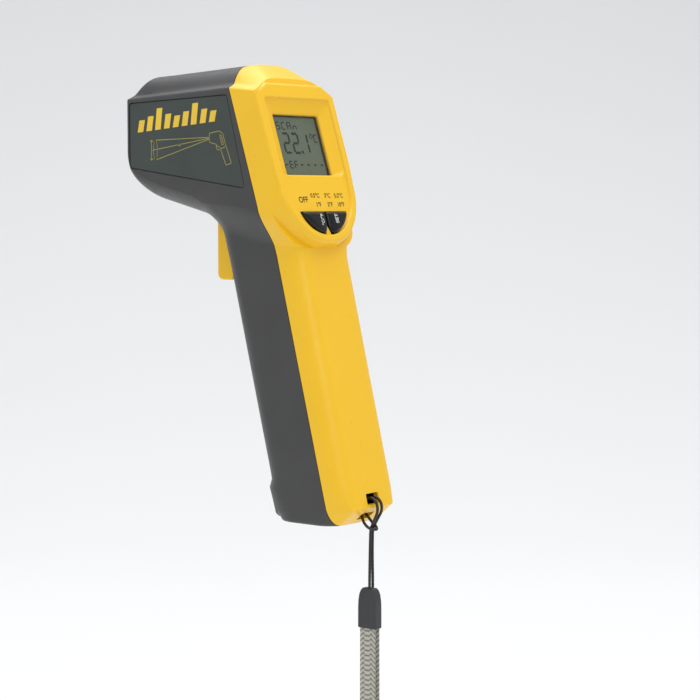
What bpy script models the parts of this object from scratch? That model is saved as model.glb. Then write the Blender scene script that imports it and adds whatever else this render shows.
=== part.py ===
"""Pistol-grip infrared thermometer with a wrist strap, as an assembly of separate pieces.

Metres, +Z up. The nose points along -X, the display faces +X, and y = 0 is the plane of symmetry.
Pieces are modelled in the body frame: x from the nose face, z from the nose's upper side corner.
The empty grip_frame then puts the middle of the grip at the world's origin.
"""

import math

import bmesh
import bpy
import numpy as np
from mathutils import Matrix, Vector

MM = 0.001
GAP = 0.3 * MM  # clearance between neighbouring pieces
WALL = 2.0 * MM

# Driving dimensions of the housing, in the body frame
GRIP_CENTRE = Vector((68.0, 0.0, -98.0)) * MM
HEAD_HALF_WIDTH = 20.5 * MM
HANDLE_HALF_WIDTH = 15.3 * MM
NOSE_HEIGHT = 19.5 * MM  # straight part of the nose face
CHIN_START = (13.0 * MM, -36.0 * MM)  # where the nose's lower curve meets the underside
UNDERSIDE_SLOPE = 0.25
GRIP_LEAN = 0.252  # x gained for each unit down the grip
GRIP_FRONT = (35.9 * MM, -41.7 * MM)  # corner of the underside and the grip's front
BOTTOM_Z = -145.5 * MM
FACE_TILT = math.atan(0.32)  # lean of the display face
FACE_CENTRE = Vector((72.0, 0.0, -31.5)) * MM  # centre of the round lower end of the display face
FACE_HALF_WIDTH = 19.7 * MM
STRAP_WIDTH = 6.8 * MM
STRAP_THICKNESS = 1.2 * MM
PARTING_TOP = (48.8 * MM, 2.7 * MM)  # seam between the dark housing and the rear cover
PARTING_KNEE = (61.6 * MM, -38.0 * MM)
PARTING_SLOPES = (0.315, 0.252)  # above and below the knee

# Driving dimensions of the display face, in its own frame (y across, v up the face)
WINDOW_HALF = (12.0 * MM, 11.0 * MM)
WINDOW_V = 16.0 * MM
KEY_RADIUS = 13.2 * MM
KEY_CENTRE_V = -3.3 * MM
KEY_TOP_V = -8.6 * MM

# Joint axes and travels
TRIGGER_PIVOT = Vector((37.0, 0.0, -36.6)) * MM
DOOR_PIVOT = Vector((61.0, 0.0, -128.6)) * MM

# Places of the pieces inside
LENS_Z = -13.0 * MM
POINTER_Z = -24.6 * MM
HOUSING_SCREWS = [(22.5, -32.5), (48.5, -36.5), (54.0, -66.5), (72.0, -137.0)]  # x, z in millimetres
BOARD_SCREW = (11.0 * MM, -3.6 * MM)  # across and up the face
LOWER_EYE = Vector((92.1, 0.0, -142.8)) * MM
UPRIGHT = Matrix(((1, 0, 0, 0), (0, 0, 1, 0), (0, 1, 0, 0), (0, 0, 0, 1)))  # outline in X and Z, swept along Y
ACROSS_X = Matrix(((0, 0, 1, 0), (1, 0, 0, 0), (0, 1, 0, 0), (0, 0, 0, 1)))  # outline in Y and Z, swept along X

PARTS = bpy.data.collections.new("infrared_thermometer")
CUTTERS = bpy.data.collections.new("cutters")


# ---------------------------------------------------------------- helpers

def start_scene():
    for obj in list(bpy.data.objects):
        bpy.data.objects.remove(obj)
    for collection in (PARTS, CUTTERS):
        bpy.context.scene.collection.children.link(collection)
    frame = bpy.data.objects.new("grip_frame", None)
    frame.location = -GRIP_CENTRE
    PARTS.objects.link(frame)
    return frame


def make_material(name, colour, roughness, metallic=0.0):
    material = bpy.data.materials.new(name)
    material.use_nodes = True
    shader = material.node_tree.nodes["Principled BSDF"]
    shader.inputs["Base Color"].default_value = (*colour, 1.0)
    shader.inputs["Roughness"].default_value = roughness
    shader.inputs["Metallic"].default_value = metallic
    material.diffuse_color = (*colour, 1.0)
    return material


def mesh_object(name, bm, collection=CUTTERS):
    """Closes a bmesh into a new object with outward faces."""
    bmesh.ops.recalc_face_normals(bm, faces=bm.faces)
    mesh = bpy.data.meshes.new(name)
    bm.to_mesh(mesh)
    bm.free()
    obj = bpy.data.objects.new(name, mesh)
    collection.objects.link(obj)
    if collection is CUTTERS:
        obj.hide_render = True
        obj.display_type = "WIRE"
    return obj


def add_piece(obj, name, material, smooth_angle=30.0):
    """Names a finished solid, gives it its material and hangs it in the body frame."""
    obj.name = name
    obj.data.name = name
    obj.data.materials.clear()
    obj.data.materials.append(material)
    obj.data.shade_smooth()
    obj.data.set_sharp_from_angle(angle=math.radians(smooth_angle))
    obj.hide_render = False
    obj.display_type = "TEXTURED"
    for collection in list(obj.users_collection):
        collection.objects.unlink(obj)
    PARTS.objects.link(obj)
    obj.parent = FRAME
    return obj


def add_moving(obj, name, material, pivot):
    """A piece with its origin on its joint's axis."""
    obj.data.transform(Matrix.Translation(-pivot))
    obj.location = pivot
    return add_piece(obj, name, material)


def combine(target, tool, operation):
    """Applies one exact Boolean to the target and keeps the tool as a hidden cutter."""
    modifier = target.modifiers.new(operation.lower(), "BOOLEAN")
    modifier.operation = operation
    modifier.solver = "EXACT"
    modifier.object = tool
    bpy.context.view_layer.update()
    result = bpy.data.meshes.new_from_object(target.evaluated_get(bpy.context.evaluated_depsgraph_get()))
    target.modifiers.clear()
    old = target.data
    target.data = result
    bpy.data.meshes.remove(old)
    return target


def cut(target, *tools):
    for tool in tools:
        combine(target, tool, "DIFFERENCE")
    return target


def join(target, *tools):
    for tool in tools:
        combine(target, tool, "UNION")
    return target


def keep(target, tool):
    return combine(target, tool, "INTERSECT")


def soften(obj, chosen, width, segments):
    """Rounds the edges whose two ends are both chosen."""
    bm = bmesh.new()
    bm.from_mesh(obj.data)
    edges = [e for e in bm.edges if all(chosen(v.co) for v in e.verts) and e.calc_face_angle(0) > 0.3]
    bmesh.ops.bevel(bm, geom=edges, offset=width, segments=segments, profile=0.5, affect="EDGES")
    bmesh.ops.remove_doubles(bm, verts=bm.verts, dist=1e-6)
    bm.to_mesh(obj.data)
    bm.free()


def copy_of(obj, name):
    duplicate = bpy.data.objects.new(name, obj.data.copy())
    CUTTERS.objects.link(duplicate)
    duplicate.hide_render = True
    duplicate.display_type = "WIRE"
    return duplicate


def box(name, low, high, bevel=0.0, matrix=None):
    """A block from its two corners, optionally with rounded edges, in the frame of matrix."""
    bm = bmesh.new()
    bmesh.ops.create_cube(bm, size=1.0)
    low, high = Vector(low), Vector(high)
    size = high - low
    bmesh.ops.transform(bm, verts=bm.verts, matrix=Matrix.Diagonal((*size, 1.0)))
    bmesh.ops.translate(bm, verts=bm.verts, vec=(low + high) / 2)
    if bevel:
        bmesh.ops.bevel(bm, geom=bm.edges, offset=bevel, segments=2, profile=0.5, affect="EDGES")
    if matrix:
        bmesh.ops.transform(bm, verts=bm.verts, matrix=matrix)
    return mesh_object(name, bm)


def along(axis):
    """Rotation that turns +Z onto the named axis."""
    return {"X": Matrix.Rotation(math.pi / 2, 4, "Y"), "Y": Matrix.Rotation(-math.pi / 2, 4, "X"),
            "Z": Matrix.Identity(4)}[axis]


def cylinder(name, centre, radius, length, axis="Z", segments=32, matrix=None):
    """A cylinder centred on a point, in the frame of matrix."""
    bm = bmesh.new()
    bmesh.ops.create_cone(bm, cap_ends=True, segments=segments, radius1=radius, radius2=radius, depth=length,
                          matrix=Matrix.Translation(Vector(centre)) @ along(axis))
    if matrix:
        bmesh.ops.transform(bm, verts=bm.verts, matrix=matrix)
    return mesh_object(name, bm)


def turned(name, profile, centre, axis="X", steps=32, matrix=None):
    """A turned piece: (radius, height) points from the axis, out and back to it."""
    bm = bmesh.new()
    ring = [bm.verts.new((r, 0.0, h)) for r, h in profile]
    for a, b in zip(ring, ring[1:]):
        bm.edges.new((a, b))
    bmesh.ops.spin(bm, geom=bm.verts[:] + bm.edges[:], axis=(0, 0, 1), cent=(0, 0, 0), steps=steps,
                   angle=2 * math.pi)
    bmesh.ops.remove_doubles(bm, verts=bm.verts, dist=1e-7)
    bmesh.ops.transform(bm, verts=bm.verts, matrix=Matrix.Translation(Vector(centre)) @ along(axis))
    if matrix:
        bmesh.ops.transform(bm, verts=bm.verts, matrix=matrix)
    return mesh_object(name, bm)


def prism(name, outline, low, high, matrix=None):
    """A flat outline of (a, b) points swept from low to high along the third axis.

    Without a matrix the outline is in X and Z and is swept along Y.
    """
    place = matrix or UPRIGHT
    bm = bmesh.new()
    face = bm.faces.new([bm.verts.new((a, b, low)) for a, b in outline])
    grown = bmesh.ops.extrude_face_region(bm, geom=[face])
    moved = [item for item in grown["geom"] if isinstance(item, bmesh.types.BMVert)]
    bmesh.ops.translate(bm, verts=moved, vec=(0, 0, high - low))
    bmesh.ops.transform(bm, verts=bm.verts, matrix=place)
    return mesh_object(name, bm)


def tube(name, points, radius, resolution=2):
    """A round wire along points, with filled caps, as a welded mesh."""
    curve = bpy.data.curves.new(name, "CURVE")
    curve.dimensions = "3D"
    curve.bevel_depth = radius
    curve.bevel_resolution = resolution
    curve.use_fill_caps = True
    spline = curve.splines.new("POLY")
    spline.points.add(len(points) - 1)
    for point, place in zip(spline.points, points):
        point.co = (*place, 1.0)
    wire = bpy.data.objects.new(name, curve)
    CUTTERS.objects.link(wire)
    bpy.context.view_layer.update()
    mesh = bpy.data.meshes.new_from_object(wire.evaluated_get(bpy.context.evaluated_depsgraph_get()))
    bpy.data.objects.remove(wire)
    bm = bmesh.new()
    bm.from_mesh(mesh)
    bpy.data.meshes.remove(mesh)
    bmesh.ops.remove_doubles(bm, verts=bm.verts, dist=1e-6)
    return mesh_object(name, bm)


def smooth_route(points, count):
    """Evenly spread points of a smooth curve through the route's own points."""
    route = np.array(points, dtype=float)
    padded = np.vstack([2 * route[0] - route[1], route, 2 * route[-1] - route[-2]])
    samples = []
    for a, b, c, d in zip(padded, padded[1:], padded[2:], padded[3:]):
        for t in np.linspace(0, 1, 24, endpoint=False):
            samples.append(0.5 * (2 * b + (c - a) * t + (2 * a - 5 * b + 4 * c - d) * t * t
                                  + (3 * b - a - 3 * c + d) * t ** 3))
    samples = np.array(samples + [route[-1]])
    reach = np.concatenate([[0], np.cumsum(np.linalg.norm(np.diff(samples, axis=0), axis=1))])
    spread = np.linspace(0, reach[-1], count)
    return [tuple(np.interp(s, reach, samples[:, k]) for k in range(3)) for s in spread]


def rounded(corners, radius, steps=3):
    """An outline with each corner replaced by an arc; radius is one value or one for each corner."""
    radii = radius if isinstance(radius, (list, tuple)) else [radius] * len(corners)
    outline = []
    for k, corner in enumerate(corners):
        here = Vector(corner)
        before = (Vector(corners[k - 1]) - here).normalized()
        after = (Vector(corners[(k + 1) % len(corners)]) - here).normalized()
        half = before.angle(after) / 2
        reach = radii[k] / math.tan(half)
        centre = here + (before + after).normalized() * (radii[k] / math.sin(half))
        start, end = here + before * reach - centre, here + after * reach - centre
        turn = start.angle_signed(end)
        for step in range(steps + 1):
            arm = start.copy()
            arm.rotate(Matrix.Rotation(-turn * step / steps, 2))
            outline.append(tuple(centre + arm))
    return outline


def face_matrix(depth=0.0):
    """Frame of the display face: local X is across, Y up the face, Z out of it; depth is inwards."""
    out = Vector((math.cos(FACE_TILT), 0.0, math.sin(FACE_TILT)))
    up = Vector((-math.sin(FACE_TILT), 0.0, math.cos(FACE_TILT)))
    across = up.cross(out)
    rotation = Matrix((across, up, out)).transposed().to_4x4()
    return Matrix.Translation(FACE_CENTRE - out * depth) @ rotation


# ---------------------------------------------------------------- the housing's outer form

def bezier(a, b, c, steps):
    """Points of a quadratic curve, without its first point."""
    a, b, c = np.array(a), np.array(b), np.array(c)
    return [tuple((1 - t) ** 2 * a + 2 * t * (1 - t) * b + t * t * c) for t in np.linspace(0, 1, steps + 1)[1:]]


def front_line(z):
    return GRIP_FRONT[0] + GRIP_LEAN * (GRIP_FRONT[1] - z)


def back_line(z):
    return 74.5 * MM + 0.245 * (-52.0 * MM - z)


def face_line(z):
    return FACE_CENTRE.x + math.tan(FACE_TILT) * (FACE_CENTRE.z - z)


def top_line(x):
    """Height of the head's upper side edge."""
    return float(np.interp(x, [0.0, 48.8 * MM, 62.0 * MM], [0.0, 2.7 * MM, 1.2 * MM]))


def half_width(x, z):
    """Half width of the body before its edges are rounded."""
    above = (z - CHIN_START[1] + UNDERSIDE_SLOPE * (x - CHIN_START[0])) * 0.97
    u = np.clip((above + 4.0 * MM) / (13.0 * MM), 0.0, 1.0)
    return HANDLE_HALF_WIDTH + (HEAD_HALF_WIDTH - HANDLE_HALF_WIDTH) * u * u * (3 - 2 * u)


def roof(x, y, edge):
    """Height of the roof over the side edge: a sloping ledge, then the raised crown."""
    ledge = 1.1 * MM * min(1.0, max(0.0, (edge - abs(y)) / (2.6 * MM)))
    start, full = 0.4 * MM, 7.0 * MM
    if x <= start:
        return ledge
    crown = np.interp(x, [full, 50.0 * MM, 60.5 * MM, 64.0 * MM], np.array([6.9, 7.2, 2.3, 1.0]) * MM)
    rise = (1 - (max(0.0, full - x) / (full - start)) ** 2) ** 0.45
    across = min(1.0, abs(y) / float(np.interp(x, [0.0, 12.0 * MM], [18.7 * MM, 17.6 * MM])))
    flatness = np.interp(x, [0.0, 12.0 * MM, 50.0 * MM, 60.0 * MM], [4.6, 3.5, 3.8, 5.0])
    return ledge + crown * rise * (1 - across ** flatness) ** 1.1


def edge_loss(distance, radius):
    """How much a rounded edge takes off the half width at this distance from the edge."""
    inside = np.clip(distance, 0.0, radius)
    return radius - np.sqrt(radius ** 2 - (radius - inside) ** 2)


def distance_to(line, point):
    a, b = line[:-1], line[1:]
    step = b - a
    t = np.clip(((point - a) * step).sum(1) / np.maximum((step ** 2).sum(1), 1e-16), 0, 1)
    gap = np.linalg.norm(a + step * t[:, None] - point, axis=1)
    nearest = int(np.argmin(gap))
    return gap[nearest], nearest + t[nearest]


def inset_line(points, amount):
    """The outline moved inwards; the outline runs with the body on its left."""
    points = np.array(points)
    tangent = np.gradient(points, axis=0)
    tangent /= np.maximum(np.linalg.norm(tangent, axis=1), 1e-12)[:, None]
    return points + amount * np.stack([-tangent[:, 1], tangent[:, 0]], 1)


def body_form(name, wall=0.0):
    """The closed outer form of head and grip, or the hollow inside it when wall is given.

    The head is a grid of columns from the underside to the side edge, the grip a grid of rows
    from its front to its back, and a strip around the outline and the roof joins the two sides.
    """
    nose = [(0.0, -NOSE_HEIGHT)]
    nose += bezier(nose[0], (0.0, -32.8 * MM), CHIN_START, 9)
    fillet_start = (30.1 * MM, -40.3 * MM)
    under = [tuple(np.array(CHIN_START) * (1 - t) + np.array(fillet_start) * t)
             for t in np.linspace(0, 1, 5)[1:]]
    fillet = bezier(fillet_start, GRIP_FRONT, (front_line(-48.5 * MM), -48.5 * MM), 6)
    head_front = nose + under + fillet[:3]
    neck_back = (face_line(-46.0 * MM) + 3.0 * MM, -46.0 * MM)
    knee = np.array(head_front[-1])
    span = np.array(neck_back) - knee
    length = np.linalg.norm(span)
    turn = np.linspace(0, math.pi / 2, 6)[1:]
    from_front = 9.0 * MM * (1 - np.cos(turn))
    from_back = 6.5 * MM * (1 - np.cos(turn))
    middle = np.linspace(from_front[-1], length - from_back[-1], 6)[1:-1]
    across = np.concatenate([from_front, middle, length - from_back[::-1], [length]]) / length
    bottom_of_head = np.array(head_front + [tuple(knee + span * t) for t in across])
    neck_start = len(head_front) - 1

    grip_z = np.array([-52, -56, -62, -80, -105, -128, -131.5, -134.5, -138.5, -142]) * MM
    flare = np.array([0, 0, 0, 0, 0, 0, 0, 1.9, 1.6, 1.3]) * MM
    front = fillet[3:] + [(front_line(z) - f, z) for z, f in zip(grip_z, flare)]
    foot = front[-1]
    front += bezier(foot, (foot[0] + 0.4 * MM, BOTTOM_Z), (62.8 * MM, BOTTOM_Z), 4)
    back_z = np.array([-52, -56, -62, -80, -105, -124, -128, -131.5, -134.5]) * MM
    throat = bezier(neck_back, (face_line(-50 * MM) + 1 * MM, -50 * MM), (back_line(-52 * MM), -52 * MM), 3)
    back = throat[:-1] + [(back_line(z), z) for z in back_z]
    heel = (back_line(-139.5 * MM), -139.5 * MM)
    toe = (89.0 * MM, BOTTOM_Z)
    back += [tuple(np.array(heel) * (1 - t) + np.array(toe) * t)
             for t in np.linspace(0, 1, len(front) - len(back))]
    top_x = np.interp(np.arange(len(bottom_of_head)), [0, neck_start, len(bottom_of_head) - 1],
                      [0.0, 34.9 * MM, 67.0 * MM])
    top_x[:neck_start + 1] = bottom_of_head[:neck_start + 1, 0]
    tail = np.linspace(0, 1, len(bottom_of_head) - neck_start)
    top_x[neck_start:] = top_x[neck_start] + (67.0 * MM - top_x[neck_start]) * tail
    top = np.array([(x, top_line(x)) for x in top_x])
    front_grid = np.array([bottom_of_head[neck_start]] + front)
    back_grid = np.array([bottom_of_head[-1]] + back)

    if wall:
        outline = inset_line(np.vstack([[[0.0, 0.0]], head_front, front]), wall)
        bottom_of_head[:neck_start + 1] = outline[1:neck_start + 2]
        front_grid = outline[neck_start + 1:]
        rear = inset_line(np.vstack([[back_grid[-1] - [wall, 0]], back_grid[::-1], [[67.0 * MM, 1.2 * MM]]]), wall)
        back_grid = rear[1:-1][::-1]
        front_grid[-1] = (front_grid[-1][0], BOTTOM_Z + wall)
        back_grid[-1] = (back_grid[-1][0], BOTTOM_Z + wall)
        bottom_of_head[neck_start:] = [front_grid[0] + (back_grid[0] - front_grid[0]) * t
                                       for t in np.concatenate([[0], across])]
        top[:, 0] = np.maximum(top[:, 0], wall)
        top[:neck_start + 1, 0] = bottom_of_head[:neck_start + 1, 0]
        top[:, 1] -= wall

    front_edge = np.vstack([[top[0]], bottom_of_head[:neck_start + 1], front_grid[1:]])
    soft = max(0.3 * MM, 1.2 * MM - wall)
    front_radius = np.interp(np.arange(len(front_edge)),
                             [0, 1, 10, neck_start + 1, neck_start + 5, len(front_edge)],
                             np.array([soft, soft, 6 * MM, 6.5 * MM, 9 * MM, 9 * MM]))
    height_steps = 6.5 * MM * (1 - np.cos(np.linspace(0, math.pi / 2, 7)))
    height_steps = np.append(height_steps, 10.5 * MM)

    def width_at(point):
        gap, index = distance_to(front_edge, point)
        loss = edge_loss(gap, np.interp(index, np.arange(len(front_edge)), front_radius))
        gap, index = distance_to(back_grid, point)
        loss += edge_loss(gap, 6.5 * MM)
        gap, _ = distance_to(top, point)
        loss += edge_loss(gap, max(0.2 * MM, 0.8 * MM - wall / 2))
        floor = np.vstack([front_grid[-1], back_grid[-1]])
        gap, _ = distance_to(floor, point)
        loss += edge_loss(gap, soft)
        return half_width(*point) - wall - loss

    head = []
    for low, high in zip(bottom_of_head, top):
        length = high[1] - low[1]
        rows = np.concatenate([height_steps, length - 0.8 * MM * np.array([1.0, 0.5, 0.13, 0.0])])
        rows = np.insert(rows, len(height_steps), (height_steps[-1] + length - 0.8 * MM) / 2)
        head.append([low + (high - low) * t / length for t in rows])
    grip = [[a + (b - a) * t for t in np.concatenate([[0], across])] for a, b in zip(front_grid, back_grid)]

    bm = bmesh.new()

    def add_grid(rows):
        verts = [[bm.verts.new(p) for p in row] for row in rows]
        for upper, lower in zip(verts, verts[1:]):
            for k in range(len(upper) - 1):
                corners = [upper[k], upper[k + 1], lower[k + 1], lower[k]]
                if len({tuple(round(c, 8) for c in v.co) for v in corners}) > 2:
                    bm.faces.new(corners)

    for side in (-1, 1):
        for patch in (head, grip):
            add_grid([[(p[0], side * width_at(p), p[1]) for p in row] for row in patch])
    rim = [head[0][k] for k in range(len(head[0]) - 1, -1, -1)]
    rim += [column[0] for column in head[1:neck_start + 1]]
    rim += [row[0] for row in grip[1:]] + grip[-1][1:]
    rim += [row[-1] for row in grip[-2::-1]] + list(head[-1][1:])
    spread = np.array([-1, -.87, -.78, -.66, -.45, -.2, .2, .45, .66, .78, .87, 1])
    shrink = HEAD_HALF_WIDTH / (HEAD_HALF_WIDTH - wall)
    strip = []
    for k, point in enumerate(rim):
        edge = width_at(point)
        lift = [roof(point[0], y * shrink, edge * shrink) if k in (0, len(rim) - 1) else 0.0 for y in spread * edge]
        strip.append([(point[0], y, point[1] + up) for y, up in zip(spread * edge, lift)])
    add_grid(strip)
    crown = []
    for column in head:
        x, z = column[-1]
        edge = width_at(column[-1])
        crown.append([(x, y, z + roof(x, y * shrink, edge * shrink)) for y in spread * edge])
    add_grid(crown)
    bmesh.ops.remove_doubles(bm, verts=bm.verts, dist=2e-6)
    bmesh.ops.dissolve_degenerate(bm, edges=bm.edges, dist=2e-6)
    bmesh.ops.recalc_face_normals(bm, faces=bm.faces)
    out = Vector((math.cos(FACE_TILT), 0.0, math.sin(FACE_TILT)))
    depth = 3.6 * MM if wall else 0.0
    result = bmesh.ops.bisect_plane(bm, geom=bm.verts[:] + bm.edges[:] + bm.faces[:],
                                    plane_co=FACE_CENTRE - out * depth, plane_no=out, clear_outer=True)
    bmesh.ops.holes_fill(bm, edges=[e for e in result["geom_cut"] if isinstance(e, bmesh.types.BMEdge)], sides=0)
    bmesh.ops.dissolve_limit(bm, angle_limit=math.radians(2.0), verts=bm.verts, edges=bm.edges)
    bmesh.ops.triangulate(bm, faces=bm.faces)
    return mesh_object(name, bm)


def face_shield(name, grow=0.0, draft=0.34, depth=14.0 * MM):
    """The display face's outline, straight above and round below, growing inwards with its draft."""
    bm = bmesh.new()
    rings = []
    for height, extra in ((1.0 * MM, -draft * MM), (-depth, draft * depth)):
        radius = FACE_HALF_WIDTH + grow + extra
        wide = max(radius, HEAD_HALF_WIDTH + 3 * MM)
        ring = [(wide, 60 * MM), (-wide, 60 * MM), (-wide, 9 * MM)]
        ring += [(-radius * math.cos(a), radius * -math.sin(a)) for a in np.linspace(0, math.pi, 25)]
        ring += [(wide, 9 * MM)]
        rings.append([bm.verts.new((a, b, height)) for a, b in ring])
    bm.faces.new(rings[0])
    bm.faces.new(rings[1][::-1])
    for k in range(len(rings[0])):
        after = (k + 1) % len(rings[0])
        bm.faces.new((rings[0][k], rings[0][after], rings[1][after], rings[1][k]))
    bmesh.ops.transform(bm, verts=bm.verts, matrix=face_matrix())
    return mesh_object(name, bm)


def parting_prism(name, shift, behind):
    """Everything on one side of the seam between dark housing and rear cover."""
    rise, fall = 30.0 * MM, -112.0 * MM
    seam = [(PARTING_TOP[0] - PARTING_SLOPES[0] * (rise - PARTING_TOP[1]), rise), PARTING_KNEE,
            (PARTING_KNEE[0] - PARTING_SLOPES[1] * fall, PARTING_KNEE[1] + fall)]
    seam = [(x + shift, z) for x, z in seam]
    limit = 0.14 if behind else -0.02
    return prism(name, seam + [(limit, seam[-1][1]), (limit, rise)], -0.05, 0.05)


def housing_shells():
    """The dark housing and the rear cover, cut from one hollow form, and that form itself."""
    outer = body_form("outer_form")
    hollow = body_form("inner_form", WALL)
    for form, wall in ((outer, 0.0), (hollow, WALL)):
        relief = prism("chin_relief", [(face_line(-26 * MM) - 12 * MM - wall, -22 * MM),
                                       (face_line(-26 * MM) + 5 * MM, -22 * MM), (98 * MM, -60 * MM),
                                       (back_line(-60 * MM) + 0.05 * MM - wall, -60 * MM),
                                       (back_line(-52 * MM) + 0.05 * MM - wall, -52 * MM)], -0.03, 0.03)
        cut(form, cut(relief, face_shield("shield", grow=-wall)))
    cover = keep(copy_of(outer, "rear_cover"), parting_prism("behind_seam", GAP / 2, True))
    cut(cover, hollow)
    dark = keep(copy_of(outer, "dark_housing"), parting_prism("before_seam", -GAP / 2, False))
    cut(dark, hollow)
    return outer, dark, cover


def window_pocket():
    """The sloping recess around the display window, through the face."""
    bm = bmesh.new()
    wide, high = WINDOW_HALF
    rings = []
    for depth, side, rise in ((-0.5, 4.9, 4.9), (0.5, 4.5, 4.5), (2.6, 0.0, 0.0), (5.0, 0.0, 0.0)):
        corners = [(-wide - side * MM, WINDOW_V - high), (wide + side * MM, WINDOW_V - high),
                   (wide + side * MM, WINDOW_V + high + rise * MM), (-wide - side * MM, WINDOW_V + high + rise * MM)]
        rings.append([bm.verts.new((a, b, -depth * MM)) for a, b in rounded(corners, 0.9 * MM, 2)])
    bm.faces.new(rings[0])
    bm.faces.new(rings[-1][::-1])
    for upper, lower in zip(rings, rings[1:]):
        for k in range(len(upper)):
            after = (k + 1) % len(upper)
            bm.faces.new((upper[k], upper[after], lower[after], lower[k]))
    bmesh.ops.transform(bm, verts=bm.verts, matrix=face_matrix())
    return mesh_object("window_pocket", bm)


def key_outline(side, grow=0.0):
    """Half of the half-moon that the two keys share, in the face's frame, from its top to its tip."""
    radius = KEY_RADIUS + grow
    top = KEY_TOP_V + grow - KEY_CENTRE_V
    tip = 1.7 * MM - grow
    arc = [(radius * math.cos(a), radius * math.sin(a) + KEY_CENTRE_V)
           for a in np.linspace(math.asin(top / radius), -math.acos(tip / radius), 10)]
    inner = 0.35 * MM if grow == 0 else 0.0
    outline = [(inner, top + KEY_CENTRE_V)] + arc + [(inner, KEY_CENTRE_V - radius + 3.2 * MM + grow)]
    return [(side * a, b) for a, b in outline]


def cut_display(cover):
    """Window pocket, key opening and lanyard eyes of the rear cover, and its two board posts."""
    right = key_outline(1, GAP)
    left = key_outline(-1, GAP)
    opening = prism("key_opening", right[1:] + left[1:-1][::-1], -6 * MM, 2 * MM, face_matrix())
    cut(cover, window_pocket(), opening)
    for side in (-1, 1):
        post = cylinder("board_post", (side * BOARD_SCREW[0], BOARD_SCREW[1], -6.2 * MM), 2.4 * MM, 6.0 * MM,
                        segments=16, matrix=face_matrix())
        hole = cylinder("post_hole", (side * BOARD_SCREW[0], BOARD_SCREW[1], -7.0 * MM), 1.2 * MM, 4.6 * MM,
                        segments=16, matrix=face_matrix())
        join(cover, post)
        cut(cover, hole)
    upper_eye = box("upper_eye", (86 * MM, -3.3 * MM, -138.6 * MM), (100 * MM, 3.3 * MM, -134.8 * MM))
    slope = Matrix.Translation(LOWER_EYE) @ Matrix.Rotation(math.radians(139), 4, "Y")
    lower_eye = box("lower_eye", (-1.9 * MM, -3.3 * MM, -5 * MM), (1.9 * MM, 3.3 * MM, 3 * MM), matrix=slope)
    return cut(cover, upper_eye, lower_eye)


def nose_block(name, grow=0.0):
    """The part of the nose that the front cap fills."""
    outline = rounded([(-13 * MM - grow, -28.5 * MM - grow), (13 * MM + grow, -28.5 * MM - grow),
                       (13 * MM + grow, -2.6 * MM + grow), (-13 * MM - grow, -2.6 * MM + grow)], 3.0 * MM + grow)
    return prism(name, outline, -2 * MM, 5.0 * MM + grow, ACROSS_X)


def label_outline(grow=0.0):
    """The side label's outline, or that of its recess when it is grown."""
    return rounded([(1.9 * MM - grow, -24.2 * MM - grow), (55.8 * MM + grow, -31.6 * MM - grow),
                    (47.7 * MM + 0.6 * grow, -0.2 * MM + grow), (1.9 * MM - grow, -1.9 * MM + grow)],
                   0.8 * MM + grow, 2)


def door_region(name, grow=0.0):
    """The front of the grip that the battery door takes."""
    top, bottom = -70 * MM + grow, -131.3 * MM - grow - (1.0 * MM if grow else 0.0)
    outline = [(front_line(top) - 8 * MM, top), (front_line(top) + 8 * MM + grow, top),
               (front_line(bottom) + 5.5 * MM + grow, bottom), (front_line(bottom) - 8 * MM, bottom)]
    return prism(name, outline, -10.8 * MM - grow, 10.8 * MM + grow)


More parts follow.
